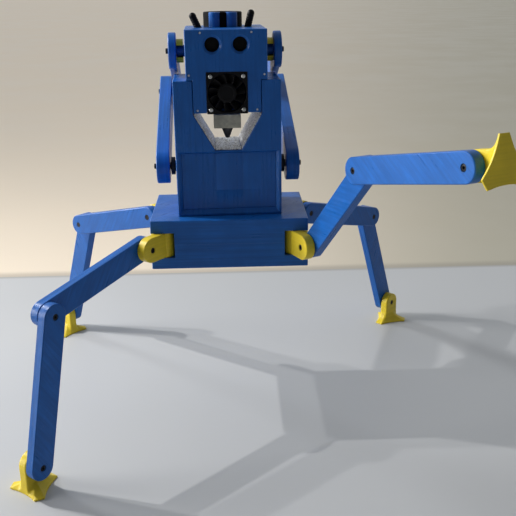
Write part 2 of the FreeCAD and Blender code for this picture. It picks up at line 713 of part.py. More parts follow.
# ---------------------------------------------------------------- head
def head_outline(inset):
    half = HEAD_W / 2 - inset
    neck = HEAD_NECK_W / 2 - inset
    bottom, shoulder, top = HEAD_BOTTOM + inset, HEAD_SHOULDER + inset, HEAD_TOP - inset
    right = [(neck, bottom), (neck, shoulder), (half, shoulder), (half, top)]
    return right + [(-x, z) for x, z in reversed(right)]


def head_shell():
    y0 = TORSO_FRONT + FACE_T
    body = prism_xz(head_outline(0), y0, HEAD_BACK)
    edges = []
    for edge in body.Edges:
        bounds = edge.BoundBox
        at_back = abs(bounds.YMin - HEAD_BACK) < 1e-4
        top_side = bounds.YLength > 1 and abs(bounds.Center.z - HEAD_TOP) < 1e-4
        if at_back or top_side:
            edges.append(edge)
    body = body.makeChamfer(EDGE_CHAMFER, edges)
    body = body.cut(prism_xz(head_outline(HEAD_WALL), y0 - 1, HEAD_BACK - HEAD_WALL))
    reach = UPPER_ARM_X - RUN_GAP - HEAD_W / 2 + 1
    for side in (-1, 1):
        start = (side * (HEAD_W / 2 - 1), ARM_PIVOT_Y, HEAD_PIVOT_Z)
        body = fuse([body, cylinder(HEAD_BOSS_R, reach, start, (side, 0, 0))])
        body = body.cut(cylinder(BOLT_HOLE_R, reach + 6, (start[0] - side * 4, start[1], start[2]), (side, 0, 0)))
    for x, z in face_screw_places():
        post = cylinder(2.2, 9.0, (x, y0, z), (0, 1, 0)).common(prism_xz(head_outline(0), y0, HEAD_BACK))
        body = fuse([body, post]).cut(cylinder(0.75, 8.0, (x, y0 - 1, z), (0, 1, 0)))
    neck_hole = cylinder(4.6, HEAD_WALL + 4, (0, HOT_END_Y, HEAD_BOTTOM - 2))
    fan_seat = box(-FAN_SIZE / 2 - 0.2, FAN_SIZE / 2 + 0.2, TORSO_FRONT - 1, fan_back() + 0.2,
                   HEAD_BOTTOM - 1, FAN_Z + FAN_SIZE / 2 + 0.2)
    return body.cut([neck_hole, fan_seat])


def face_screw_places():
    return [(side * x, z) for side in (-1, 1) for x, z in FACE_SCREWS]


def head_face_plate():
    plate = prism_xz(head_outline(0), TORSO_FRONT, TORSO_FRONT + FACE_T)
    rim = [e for e in plate.Edges if abs(e.BoundBox.YMax - TORSO_FRONT) < 1e-4]
    plate = plate.makeChamfer(EDGE_CHAMFER, rim)
    for side in (-1, 1):
        eye = cylinder(EYE_R, FACE_T + 2, (side * EYE_X, TORSO_FRONT - 1, EYE_Z), (0, 1, 0))
        bevel = Part.makeCone(EYE_RIM_R, EYE_R, 2.0, Vec(side * EYE_X, TORSO_FRONT, EYE_Z), Vec(0, 1, 0))
        plate = plate.cut([eye, bevel])
    half = FAN_SIZE / 2 + 0.2
    plate = plate.cut(box(-half, half, TORSO_FRONT - 1, TORSO_FRONT + FACE_T + 1, HEAD_BOTTOM - 1, FAN_Z + half))
    for x, z in face_screw_places():
        hole = cylinder(0.8, FACE_T + 2, (x, TORSO_FRONT - 1, z), (0, 1, 0))
        sink = cylinder(1.3, 0.9, (x, TORSO_FRONT - 0.1, z), (0, 1, 0))
        plate = plate.cut([hole, sink])
    return plate


def face_screws():
    screws = []
    for x, z in face_screw_places():
        head = cylinder(1.2, 0.7, (x, TORSO_FRONT + 0.1, z), (0, 1, 0))
        shank = cylinder(0.7, 8.0, (x, TORSO_FRONT + 0.8, z), (0, 1, 0))
        slot = box(x - 0.9, x + 0.9, TORSO_FRONT, TORSO_FRONT + 0.4, z - 0.15, z + 0.15)
        screws.append(fuse([head, shank]).cut(slot))
    return screws


def eye_sensor():
    """Distance sensor: two open cans on one circuit board, set back behind the eye holes."""
    can_front = TORSO_FRONT + FACE_T + 3.0
    can_l = 12.0
    pieces = []
    for side in (-1, 1):
        can = cylinder(EYE_R + 0.9, can_l, (side * EYE_X, can_front, EYE_Z), (0, 1, 0))
        cup = cylinder(EYE_R - 0.2, 3.0, (side * EYE_X, can_front - 0.1, EYE_Z), (0, 1, 0))
        pieces.append(can.cut(cup))
    board_y = can_front + can_l
    pieces.append(box(-23, 23, board_y, board_y + 1.6, EYE_Z - 10, EYE_Z + 9))
    return pieces


# ---------------------------------------------------------------- fan
def fan_front():
    return TORSO_FRONT - FAN_PROUD


def fan_back():
    return fan_front() + FAN_DEPTH


def fan_corners():
    half = FAN_HOLE_PITCH / 2
    return [(x, FAN_Z + z) for x in (-half, half) for z in (-half, half)]


def fan_frame():
    y0, y1 = fan_front(), fan_back()
    half = FAN_SIZE / 2
    body = box(-half, half, y0, y1, FAN_Z - half, FAN_Z + half)
    upright = [e for e in body.Edges if e.BoundBox.YLength > 1]
    body = body.makeFillet(1.0, upright)
    body = body.cut(cylinder(FAN_BORE_R, FAN_DEPTH + 2, (0, y0 - 1, FAN_Z), (0, 1, 0)))
    motor_plate = cylinder(FAN_HUB_R, 1.6, (0, y1 - 1.6, FAN_Z), (0, 1, 0))
    struts = []
    for arm in range(3):
        strut = box(FAN_HUB_R - 1, FAN_BORE_R + 0.6, y1 - 1.6, y1, -1.2, 1.2)
        struts.append(moved(turned(strut, 30 + 120 * arm, (0, 1, 0)), z=FAN_Z))
    axle = cylinder(1.5, 4.4, (0, y1 - 6.0, FAN_Z), (0, 1, 0))
    body = fuse([body, motor_plate, axle] + struts)
    for x, z in fan_corners():
        body = body.cut(cylinder(1.7, FAN_DEPTH + 2, (x, y0 - 1, z), (0, 1, 0)))
    return body


def fan_blade():
    """One swept blade: a thin curved strip from the hub to near the bore, pitched to the axis."""
    inner, outer, chord = FAN_HUB_R - 0.6, FAN_BORE_R - 0.7, 6.0
    mid_r = (inner + outer) / 2

    def point(radius, degrees):
        angle = math.radians(degrees)
        return Vec(radius * math.cos(angle), 0, radius * math.sin(angle))
    lead = [point(inner, 0), point(mid_r, 9), point(outer, 24)]
    trail = [point(outer, 24 + 3.4), point(mid_r, 9 + 4.6), point(inner, 7)]
    edges = [Part.Arc(*lead).toShape(), Part.LineSegment(lead[2], trail[0]).toShape(),
             Part.Arc(*trail).toShape(), Part.LineSegment(trail[2], lead[0]).toShape()]
    strip = Part.Face(Part.Wire(edges)).extrude(Vec(0, chord, 0))
    return turned(strip, 14, (1, 0, 0.12))


def fan_rotor():
    y0 = fan_front() + 1.0
    hub = cylinder(FAN_HUB_R, 6.4, (0, y0, FAN_Z), (0, 1, 0))
    rim = [e for e in hub.Edges if e.isClosed() and abs(e.BoundBox.YMax - y0) < 1e-3]
    hub = hub.makeFillet(1.0, rim)
    hub = hub.cut(cylinder(1.56, 5.0, (0, y0 + 3.2, FAN_Z), (0, 1, 0)))
    blade = fan_blade()
    blades = [moved(turned(blade, 360.0 / FAN_BLADES * k, (0, 1, 0)), y=y0 + 0.2, z=FAN_Z)
              for k in range(FAN_BLADES)]
    return fuse([hub] + blades)


def fan_screws():
    screws = []
    for x, z in fan_corners():
        dome = cylinder(2.1, 1.5, (x, fan_front() - 1.5, z), (0, 1, 0))
        rim = [e for e in dome.Edges if e.isClosed() and abs(e.BoundBox.YMax - fan_front() + 1.5) < 1e-3]
        dome = dome.makeFillet(0.9, rim)
        shank = cylinder(1.5, 10.2, (x, fan_front(), z), (0, 1, 0))
        screws.append(fuse([dome, shank]))
    return screws


# ---------------------------------------------------------------- hot end
def heat_sink():
    low = HEAD_BOTTOM + 5.0
    core = cylinder(4.0, 26.0, (0, HOT_END_Y, low))
    fins = [cylinder(9.6, 1.2, (0, HOT_END_Y, low + 2.5 * k)) for k in range(11)]
    neck = cylinder(3.0, low - BLOCK_BOTTOM - BLOCK_H, (0, HOT_END_Y, BLOCK_BOTTOM + BLOCK_H))
    return fuse([core, neck] + fins)


def heater_block():
    block = box(-BLOCK_W / 2, BLOCK_W / 2, HOT_END_Y - BLOCK_D / 2, HOT_END_Y + BLOCK_D / 2,
                BLOCK_BOTTOM, BLOCK_BOTTOM + BLOCK_H)
    return block.makeChamfer(0.6, block.Edges)


def nozzle():
    collar = cylinder(5.7, 1.4, (0, HOT_END_Y, BLOCK_BOTTOM - 1.4))
    cone_h = BLOCK_BOTTOM - 1.4 - NOZZLE_TIP_Z
    cone = Part.makeCone(2.1, 5.5, cone_h, Vec(0, HOT_END_Y, NOZZLE_TIP_Z), Vec(0, 0, 1))
    bore = cylinder(0.4, 12, (0, HOT_END_Y, NOZZLE_TIP_Z - 1))
    return fuse([collar, cone]).cut(bore)


# ---------------------------------------------------------------- head top
def antennas():
    rods = []
    for name, tilt in ANTENNA_TILTS.items():
        rod = cylinder(ANTENNA_R, ANTENNA_LS[name] + 4, (0, 0, -4))
        tip = Part.makeSphere(ANTENNA_R, Vec(0, 0, ANTENNA_LS[name]))
        rod = turned(fuse([rod, tip]), tilt, (0, 1, 0))
        rod = moved(rod, x=ANTENNA_XS[name], y=ANTENNA_Y, z=HEAD_TOP)
        rods.append(rod.cut(box(-60, 60, -60, 60, HEAD_TOP - 12, HEAD_TOP)))
    return rods


def crown_posts():
    posts = []
    for side in (-1, 1):
        post = cylinder(POST_R, CROWN_H, (CROWN_X + side * POST_OFFSET_X, POST_Y, HEAD_TOP))
        rim = [e for e in post.Edges if e.isClosed() and abs(e.BoundBox.ZMin - HEAD_TOP - CROWN_H) < 1e-3]
        posts.append(post.makeChamfer(0.6, rim))
    return posts


def crown_drum():
    drum = cylinder(CROWN_R, CROWN_H, (CROWN_X, CROWN_Y, HEAD_TOP))
    rim = [e for e in drum.Edges if e.isClosed() and abs(e.BoundBox.ZMin - HEAD_TOP - CROWN_H) < 1e-3]
    drum = drum.makeChamfer(0.8, rim)
    for side in (-1, 1):
        x = CROWN_X + side * POST_OFFSET_X
        drum = drum.cut(cylinder(POST_R + 0.1, CROWN_H + 2, (x, POST_Y, HEAD_TOP - 1)))
    well = cylinder(CROWN_R - 6, 2.0, (CROWN_X, CROWN_Y + 3, HEAD_TOP + CROWN_H - 1.5))
    return drum.cut(well)


# ---------------------------------------------------------------- assembly
def on_deck(shapes):
    """Lift torso, head and arm pieces onto the deck and turn them with the waist."""
    placed = []
    for shape in shapes:
        placed.append(turned(moved(shape, z=BASE_H), WAIST_TURN))
    return placed


def upper_works():
    slanted, floor = mouth_liners()
    parts = {
        "torso_shell": [torso_shell().cut(box(-80, 80, -80, 80, -1, DECK_GAP))],
        "torso_front_panel": [torso_front_panel()],
        "torso_rear_cover": [torso_rear_cover()],
        "torso_screws": torso_screws(),
        "mouth_side_liners": both_sides(slanted),
        "mouth_floor_liner": [floor],
        "shoulder_bearings": both_sides(shoulder_bearing()),
        "shoulder_bolts": both_sides(shoulder_bolt()),
        "controller_board": controller_board(),
        "head_shell": [head_shell()],
        "head_face_plate": [head_face_plate()],
        "face_screws": face_screws(),
        "eye_sensor": eye_sensor(),
        "fan_frame": [fan_frame()],
        "fan_rotor": [fan_rotor()],
        "fan_screws": fan_screws(),
        "heat_sink": [heat_sink()],
        "heater_block": [heater_block()],
        "nozzle": [nozzle()],
        "antennas": antennas(),
        "crown_posts": crown_posts(),
        "crown_drum": [crown_drum()],
        "head_clips": both_sides(head_clip()),
        "head_pivot_bolts": both_sides(head_pivot_bolt()),
    }
    for side, flip in (("right", False), ("left", True)):
        for name, shapes in (("lower_arm", [lower_arm()]), ("upper_arm", [upper_arm()]),
                             ("elbow_hardware", elbow_hardware())):
            parts[side + "_" + name] = [mirrored_x(s) for s in shapes] if flip else shapes
    return {name: on_deck(shapes) for name, shapes in parts.items()}


def all_parts():
    parts = {
        "base_lower_shell": [base_lower_shell()],
        "base_upper_shell": [base_upper_shell()],
        "base_screws": base_screws(),
        "hub_pins": hub_pins(),
        "waist_spindle": waist_spindle(),
    }
    parts.update(upper_works())
    for name, leg in LEGS.items():
        parts.update(leg_parts(name, leg))
    return parts


os.makedirs("parts", exist_ok=True)
for node, solids in all_parts().items():
    shape = solids[0] if len(solids) == 1 else Part.makeCompound(solids)
    shape.exportStep("parts/" + node + ".step")
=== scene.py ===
"""Looks of the four-legged desk robot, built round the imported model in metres.

Printed shells, brackets, links and clips, the crown, the fan's frame, the spindle, the heat sink and the
controller board keep their CAD shape and get materials. Feet, fan rotor, heater block, nozzle, eye sensor,
screws, bolts, pins, bearings, antennas, linings and front panel are rebuilt here as finer meshes.
"""
import json
import math

import bmesh
import bpy
from mathutils import Matrix, Vector, noise


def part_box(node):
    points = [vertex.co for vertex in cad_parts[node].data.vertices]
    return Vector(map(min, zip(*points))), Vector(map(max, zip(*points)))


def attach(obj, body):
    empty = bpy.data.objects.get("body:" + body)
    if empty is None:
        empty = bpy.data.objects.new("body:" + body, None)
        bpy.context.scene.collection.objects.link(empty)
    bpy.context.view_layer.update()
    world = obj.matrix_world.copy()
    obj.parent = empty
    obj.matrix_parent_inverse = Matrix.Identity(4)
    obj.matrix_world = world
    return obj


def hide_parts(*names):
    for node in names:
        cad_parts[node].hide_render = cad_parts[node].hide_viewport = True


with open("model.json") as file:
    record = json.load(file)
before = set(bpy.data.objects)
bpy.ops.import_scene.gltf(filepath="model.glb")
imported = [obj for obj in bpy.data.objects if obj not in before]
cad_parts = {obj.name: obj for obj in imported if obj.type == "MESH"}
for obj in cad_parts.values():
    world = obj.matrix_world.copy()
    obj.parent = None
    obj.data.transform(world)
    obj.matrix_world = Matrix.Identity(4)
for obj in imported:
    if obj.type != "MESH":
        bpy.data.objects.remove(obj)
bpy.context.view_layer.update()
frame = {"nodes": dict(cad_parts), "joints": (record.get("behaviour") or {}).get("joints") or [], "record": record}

NODES = frame["nodes"]
JOINTS = {joint["name"]: joint for joint in frame["joints"]}
BODY_OF = {node: body for body, nodes in frame["record"]["behaviour"]["bodies"].items() for node in nodes}
LEGS = ("front_left", "front_right", "rear_left", "rear_right")
MM = 0.001
UP = Vector((0, 0, 1))


# ---------------------------------------------------------------- places read from the frame
def joint_place(name):
    return Vector(JOINTS[name]["pos_m"])


def joint_axis(name):
    return Vector(JOINTS[name]["axis"]).normalized()


def axes(origin, x, z):
    """Matrix of a right-handed frame at origin, from its X direction and its Z direction."""
    x, z = x.normalized(), z.normalized()
    matrix = Matrix((x, z.cross(x), z)).transposed().to_4x4()
    matrix.translation = origin
    return matrix


def middle(node):
    low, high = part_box(node)
    return (low + high) / 2


def local_points(node, place):
    inverse = place.inverted()
    return [inverse @ vertex.co for vertex in NODES[node].data.vertices]


def local_box(node, place):
    """Lowest and highest corner of a node's points in a frame."""
    points = local_points(node, place)
    low = Vector([min(p[k] for p in points) for k in range(3)])
    high = Vector([max(p[k] for p in points) for k in range(3)])
    return low, high


DECK_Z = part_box("base_upper_shell")[1].z
RIGHT = joint_axis("head_lift")
WAIST = axes(Vector((0, 0, DECK_Z)), RIGHT, UP)
FRONTWARD = -(WAIST.to_3x3() @ Vector((0, 1, 0)))


class Leg:
    """Pivots and directions of one leg, read from its joints."""

    def __init__(self, name):
        self.name = name
        self.hub = joint_place(name + "_hip_yaw")
        self.hip = joint_place(name + "_hip_pitch")
        self.knee = joint_place(name + "_knee")
        self.ankle = joint_place(name + "_ankle")
        out = self.knee - self.hub
        out.z = 0
        self.out = out.normalized()
        self.side = UP.cross(self.out)
        self.hand = 1 if (middle(name + "_shin") - self.knee).dot(self.side) > 0 else -1
        self.bolt_side = self.side * self.hand
        self.raised = self.ankle.z > self.hip.z

    def link(self, start, end):
        """Frame of a flat link: X along it and Z across its thickness, towards the bolt heads."""
        return axes(start, end - start, self.bolt_side)


LEG = {name: Leg(name) for name in LEGS}


# ---------------------------------------------------------------- shader building
class Shader:
    """A node material under construction."""

    def __init__(self, name, roughness=0.5, **fixed):
        self.material = bpy.data.materials.new(name)
        self.material.use_nodes = True
        self.tree = self.material.node_tree
        self.surface = self.tree.nodes["Principled BSDF"]
        self.surface.inputs["Roughness"].default_value = roughness
        for socket, value in fixed.items():
            self.surface.inputs[socket.replace("_", " ")].default_value = value

    def add(self, kind, inputs=None, output=0, **settings):
        node = self.tree.nodes.new("ShaderNode" + kind)
        for key, value in settings.items():
            setattr(node, key, value)
        for socket, value in (inputs or {}).items():
            self.feed(node.inputs[socket], value)
        return node.outputs[output]

    def feed(self, socket, value):
        if isinstance(value, bpy.types.NodeSocket):
            self.tree.links.new(value, socket)
        else:
            socket.default_value = value

    def math(self, operation, a, b=0.0):
        return self.add("Math", {0: a, 1: b}, operation=operation)

    def scaled(self, value, low, high, to_low, to_high):
        """Smoothly stretches a value from one range to another, clamped."""
        return self.add("MapRange", {"Value": value, "From Min": low, "From Max": high, "To Min": to_low,
                                     "To Max": to_high}, interpolation_type="SMOOTHSTEP")

    def noise(self, vector, scale, detail=2.0, roughness=0.55):
        return self.add("TexNoise", {"Vector": vector, "Scale": scale, "Detail": detail,
                                     "Roughness": roughness})

    def stretched(self, vector, scale):
        return self.add("Mapping", {"Vector": vector, "Scale": scale}, vector_type="POINT")

    def blend(self, factor, a, b):
        """Mixes two colours."""
        node = self.tree.nodes.new("ShaderNodeMix")
        node.data_type = "RGBA"
        self.feed(node.inputs[0], factor)
        self.feed(node.inputs[6], a)
        self.feed(node.inputs[7], b)
        return node.outputs[2]

    def finish(self, colour, roughness, normal=None):
        for socket, value in (("Base Color", colour), ("Roughness", roughness), ("Normal", normal)):
            if value is not None:
                self.feed(self.surface.inputs[socket], value)
        return self.material

    def bump(self, height, distance, strength, normal):
        return self.add("Bump", {"Height": height, "Distance": distance, "Strength": strength,
                                 "Normal": normal})

    def worn_and_highlit_edge(self, radius):
        """Rounded normal, and a mask that is 1 on sharp edges; the edges it marks are lightened as wear and as a
        painted highlight.
        """
        rounded = self.add("Bevel", {"Radius": radius}, samples=6)
        plain = self.add("NewGeometry", output=1)
        closeness = self.add("VectorMath", {0: rounded, 1: plain}, output=1, operation="DOT_PRODUCT")
        return rounded, self.scaled(closeness, 0.995, 0.80, 0.0, 1.0)


def tinted(colour, factor):
    return tuple(min(1.0, channel * factor) for channel in colour[:3]) + (1.0,)


# ---------------------------------------------------------------- materials
BLUE = (0.008, 0.116, 0.44, 1.0)
YELLOW = (0.83, 0.63, 0.035, 1.0)
LAYER = 0.28 * MM
RASTER = 0.5 * MM
# length of one band of the wave texture at scale 1
WAVE_BAND = 0.314


def printed(name, colour, build, raster_turn=math.radians(45), roughness=0.36, streak=0.16):
    """Printed plastic: layer lines round the walls and raster lines on faces across the build axis.

    build is a frame whose Z is the direction in which the piece was printed.
    """
    shader = Shader(name, Specular_IOR_Level=0.32)
    turn = Matrix.Rotation(raster_turn, 3, "Z") @ build.to_3x3().inverted()
    angles = turn.to_euler("XYZ")
    raw = shader.add("TexCoord", output=3)
    place = shader.add("Mapping", {"Vector": raw, "Rotation": angles}, vector_type="POINT")
    facing = shader.add("Mapping", {"Vector": shader.add("TexCoord", output=1), "Rotation": angles},
                        vector_type="NORMAL")
    across = shader.add("SeparateXYZ", {"Vector": facing}, output=2)
    flat = shader.scaled(shader.math("ABSOLUTE", across), 0.6, 0.85, 0.0, 1.0)

    wall_lines = shader.add("TexWave", {"Vector": place, "Scale": WAVE_BAND / LAYER, "Distortion": 0.3,
                                        "Detail Scale": 300.0}, output=1, bands_direction="Z")
    flat_lines = shader.add("TexWave", {"Vector": place, "Scale": WAVE_BAND / RASTER, "Distortion": 0.4,
                                        "Detail Scale": 300.0}, output=1, bands_direction="X")
    wall_bands = shader.noise(shader.stretched(place, (12.0, 12.0, 420.0)), 1.0, 4.0)
    flat_bands = shader.noise(shader.stretched(place, (360.0, 22.0, 22.0)), 1.0, 4.0, 0.65)
    bands = shader.add("Mix", {0: flat, 2: wall_bands, 3: flat_bands})
    lines = shader.add("Mix", {0: flat, 2: wall_lines, 3: flat_lines})

    cloud = shader.noise(raw, 38.0, 3.0)
    rubbed = shader.noise(raw, 160.0, 5.0, 0.7)
    rounded, edge = shader.worn_and_highlit_edge(0.5 * MM)
    light, dark = tinted(colour, 1.0 + streak), tinted(colour, 1.0 - streak)
    shade = shader.blend(shader.scaled(bands, 0.3, 0.7, 0.0, 1.0), dark, light)
    shade = shader.blend(shader.scaled(cloud, 0.35, 0.7, 0.0, 0.5), shade, tinted(colour, 0.8))
    pale = tuple(0.6 * channel + 0.11 for channel in colour[:3]) + (1.0,)
    scuffs = shader.scaled(rubbed, 0.66, 0.80, 0.0, 0.35)
    shade = shader.blend(scuffs, shade, pale)
    # Sharp edges are lightened towards pale: partly wear, partly a painted highlight where the edges catch the
    # light.
    shade = shader.blend(shader.math("MULTIPLY", edge, 0.45), shade, pale)
    gloss = shader.scaled(shader.math("ADD", bands, cloud), 0.7, 1.4, roughness - 0.09, roughness + 0.10)
    height = shader.math("ADD", shader.math("MULTIPLY", lines, 0.35), bands)
    normal = shader.bump(height, 0.06 * MM, 0.8, rounded)
    return shader.finish(shade, gloss, normal)


def plastic(name, colour, roughness=0.4, grain=900.0, depth=0.03 * MM, specular=0.15, edge_wear_and_highlight=0.09):
    """Moulded plastic with a fine grain, cloudy shade, and sharp edges lightened as wear and as a painted
    highlight.
    """
    shader = Shader(name, Specular_IOR_Level=specular)
    raw = shader.add("TexCoord", output=3)
    fine = shader.noise(raw, grain, 3.0)
    cloud = shader.noise(raw, 90.0, 4.0, 0.6)
    rounded, edge = shader.worn_and_highlit_edge(0.25 * MM)
    shade = shader.blend(shader.scaled(cloud, 0.3, 0.7, 0.0, 1.0), tinted(colour, 0.8), tinted(colour, 1.25))
    # Lightened edge colour: partly wear, partly a painted highlight.
    pale = tuple(0.6 * channel + edge_wear_and_highlight for channel in colour[:3]) + (1.0,)
    shade = shader.blend(shader.math("MULTIPLY", edge, 0.5), shade, pale)
    gloss = shader.scaled(cloud, 0.3, 0.7, roughness - 0.08, roughness + 0.10)
    return shader.finish(shade, gloss, shader.bump(fine, depth, 0.6, rounded))


def metal(name, colour, roughness=0.3, grain=500.0, depth=0.02 * MM, metallic=1.0):
    """Bare or oxidised metal with machining marks and small stains."""
    shader = Shader(name, Metallic=metallic)
    raw = shader.add("TexCoord", output=3)
    marks = shader.noise(shader.stretched(raw, (1.0, 1.0, 7.0)), grain, 4.0, 0.65)
    cloud = shader.noise(raw, 120.0, 4.0, 0.6)
    rounded, edge = shader.worn_and_highlit_edge(0.2 * MM)
    stain = shader.scaled(cloud, 0.3, 0.75, 0.0, 1.0)
    shade = shader.blend(stain, tinted(colour, 1.12), tinted(colour, 0.72))
    # Sharp edges are lightened: partly wear, partly a painted highlight.
    shade = shader.blend(shader.math("MULTIPLY", edge, 0.5), shade, tinted(colour, 1.6))
    gloss = shader.scaled(marks, 0.3, 0.7, roughness - 0.08, roughness + 0.12)
    return shader.finish(shade, gloss, shader.bump(marks, depth, 0.5, rounded))


def speckled(name, dark, light, roughness=0.42):
    """Rough silver-grey lining with streaky light and dark grains along its depth."""
    shader = Shader(name, Metallic=0.7)
    raw = shader.stretched(shader.add("TexCoord", output=3), (1.0, 0.3, 1.0))
    coarse = shader.noise(raw, 420.0, 4.0, 0.7)
    flakes = shader.add("TexVoronoi", {"Vector": raw, "Scale": 900.0}, output=0)
    cloud = shader.noise(raw, 110.0, 3.0)
    rounded, edge = shader.worn_and_highlit_edge(0.4 * MM)
    grainy = shader.math("ADD", coarse, shader.math("MULTIPLY", flakes, 0.4))
    shade = shader.blend(shader.scaled(grainy, 0.56, 0.78, 0.0, 1.0), dark, light)
    shade = shader.blend(shader.scaled(cloud, 0.45, 0.7, 0.0, 0.35), shade, tinted(dark, 0.8))
    # Sharp edges, such as the wavy front edge, are lightened: partly wear, partly a painted highlight.
    shade = shader.blend(shader.math("MULTIPLY", edge, 0.8), shade, light)
    gloss = shader.scaled(coarse, 0.3, 0.7, roughness - 0.12, roughness + 0.15)
    return shader.finish(shade, gloss, shader.bump(grainy, 0.12 * MM, 0.8, rounded))


def circuit_board(name):
    """Green solder mask with fine copper tracks under it."""
    shader = Shader(name, roughness=0.35)
    raw = shader.add("TexCoord", output=3)
    tracks = shader.add("TexBrick", {"Vector": raw, "Scale": 160.0, "Mortar Size": 0.018,
                                     "Color1": (0.006, 0.07, 0.03, 1), "Color2": (0.008, 0.10, 0.04, 1),
                                     "Mortar": (0.03, 0.20, 0.09, 1)})
    cloud = shader.noise(raw, 200.0, 3.0)
    shade = shader.blend(shader.scaled(cloud, 0.4, 0.7, 0.0, 0.4), tracks, (0.004, 0.05, 0.02, 1))
    return shader.finish(shade, shader.scaled(cloud, 0.3, 0.7, 0.25, 0.45))


def dress(node, material):
    """Gives a CAD node or a piece one material all over."""
    mesh = NODES[node].data if isinstance(node, str) else node.data
    mesh.materials.clear()
    mesh.materials.append(material)


SIDEWAYS = axes(Vector(), UP, RIGHT)
FACE_DOWN = axes(Vector(), RIGHT, FRONTWARD)
UPRIGHT = axes(Vector(), RIGHT, UP)

BASE_BLUE = printed("base_blue", BLUE, UPRIGHT)
SHELL_BLUE = printed("shell_blue", BLUE, FACE_DOWN, 0.0, 0.34, 0.10)
ARM_BLUE = printed("arm_blue", BLUE, SIDEWAYS)
CLIP_YELLOW = printed("clip_yellow", YELLOW, SIDEWAYS, streak=0.06)
BRACKET_YELLOW = printed("bracket_yellow", YELLOW, UPRIGHT, streak=0.06)
BLACK_PLASTIC = plastic("black_moulding", (0.0045, 0.0045, 0.0055, 1), 0.42)
BLACK_DRUM = plastic("black_drum", (0.003, 0.003, 0.004, 1), 0.5, specular=0.05, edge_wear_and_highlight=0.015)
BLACK_STEEL = metal("black_oxide", (0.022, 0.022, 0.025, 1), 0.42, metallic=0.6)
BRIGHT_STEEL = metal("bright_zinc", (0.62, 0.62, 0.60, 1), 0.28)
PALE_STEEL = metal("pale_zinc", (0.72, 0.76, 0.86, 1), 0.5, metallic=0.2)
BLOCK_GREY = metal("block_grey", (0.68, 0.65, 0.53, 1), 0.55, 300.0, 0.05 * MM, 0.0)
NOZZLE_DARK = metal("nozzle_dark", (0.085, 0.085, 0.10, 1), 0.40, 400.0, 0.04 * MM, 0.5)
ALUMINIUM = metal("turned_aluminium", (0.66, 0.67, 0.70, 1), 0.32)
LINER_GREY = speckled("liner_grey", (0.34, 0.31, 0.28, 1), (1.0, 0.99, 0.97, 1))
BOARD_GREEN = circuit_board("board_green")


def dress_cad():
    """Materials of the CAD nodes that keep their own shape."""
    for node in ("base_lower_shell", "base_upper_shell"):
        dress(node, BASE_BLUE)
    for node in ("torso_shell", "torso_rear_cover", "head_shell", "head_face_plate", "crown_posts"):
        dress(node, SHELL_BLUE)
    for side in ("left", "right"):
        for part in ("lower_arm", "upper_arm"):
            dress(side + "_" + part, ARM_BLUE)
    dress("head_clips", CLIP_YELLOW)
    dress("crown_drum", BLACK_DRUM)
    dress("fan_frame", BLACK_PLASTIC)
    dress("waist_spindle", BLACK_STEEL)
    dress("heat_sink", ALUMINIUM)
    dress("controller_board", BOARD_GREEN)
    for leg in LEG.values():
        for part, start, end in (("thigh", leg.hip, leg.knee), ("shin", leg.knee, leg.ankle)):
            build = leg.link(start, end)
            raster = math.radians(45) * leg.hand
            dress(leg.name + "_" + part, printed(leg.name + "_" + part + "_blue", BLUE, build, raster))
        dress(leg.name + "_hip_bracket", BRACKET_YELLOW)


# ---------------------------------------------------------------- rebuilt pieces
# RING is the number of points round a turned piece, the pitch is in degrees and sizes are in mm.
# HEAD_SEAT, NUT_START and FOOT_CENTRE lie on a pivot's axis, positive towards the bolt's head.
RING = 48
HEAD_SEAT = 6.7
NUT_START = -9.85
CAP_H = 3.0
CAP_R = 2.75
BUTTON_H = 2.0
BOLT_PAST_NUT = 0.8
ANKLE_H = 26.0
FOOT_CENTRE = -5.075
RAISED_FOOT_PITCH = 10.0

# turned outlines as (radius, height) in mm; a third entry gives the ring's shape
CAP_HEAD = ((1.5, 0), (2.67, 0), (2.75, 0.25, "knurl"), (2.75, 2.5, "knurl"), (2.55, 2.85), (2.3, 3.0),
            (1.52, 3.0, "hex"), (1.44, 2.85, "hex"), (1.44, 1.5, "hex"), (0, 1.1))
DOME_HEAD = ((1.5, 0), (2.1, 0), (2.1, 0.5), (1.95, 1.0), (1.6, 1.35), (1.2, 1.5), (0.8, 1.5, "hex"),
             (0.76, 0.6, "hex"), (0, 0.45))
BUTTON_HEAD = ((1.5, 0), (2.75, 0), (2.75, 0.8), (2.5, 1.6), (2.1, 2.0), (1.5, 2.0, "hex"),
               (1.44, 0.9, "hex"), (0, 0.9))
TINY_HEAD = ((0.7, 0), (1.05, 0), (1.05, 0.45), (0.9, 0.7), (0.5, 0.7, "hex"), (0.48, 0.4, "hex"),
             (0, 0.35))
NUT_RING = ((1.55, 0), (2.7, 0), (3.0, 0.3, "hex"), (3.0, 2.1, "hex"), (2.7, 2.4), (1.55, 2.4))
BEARING_RING = ((1.58, 0), (4.3, 0), (4.6, 0.5), (7.4, 0.5), (7.7, 0), (9.0, 0), (9.25, 0.25),
                (9.25, 3.75), (9.0, 4.0), (7.7, 4.0), (7.4, 3.5), (4.6, 3.5), (4.3, 4.0), (4.0, 4.0),
                (4.0, 5.1), (1.58, 5.1))


def ring_scale(shape, angle, k):
    """Radius factor of one point on a round, knurled or six-sided ring."""
    if shape == "hex":
        return math.cos(math.pi / 6) / math.cos(angle % (math.pi / 3) - math.pi / 6)
    if shape == "knurl":
        return 1.0 if k % 2 else 0.965
    return 1.0


def join_rings(bm, a, b):
    """Skin between two rings; a ring of one vertex is a point on the axis."""
    count = max(len(a), len(b))
    for k in range(count):
        corners = [a[k % len(a)], a[(k + 1) % len(a)], b[(k + 1) % len(b)], b[k % len(b)]]
        bm.faces.new(list(dict.fromkeys(corners)))


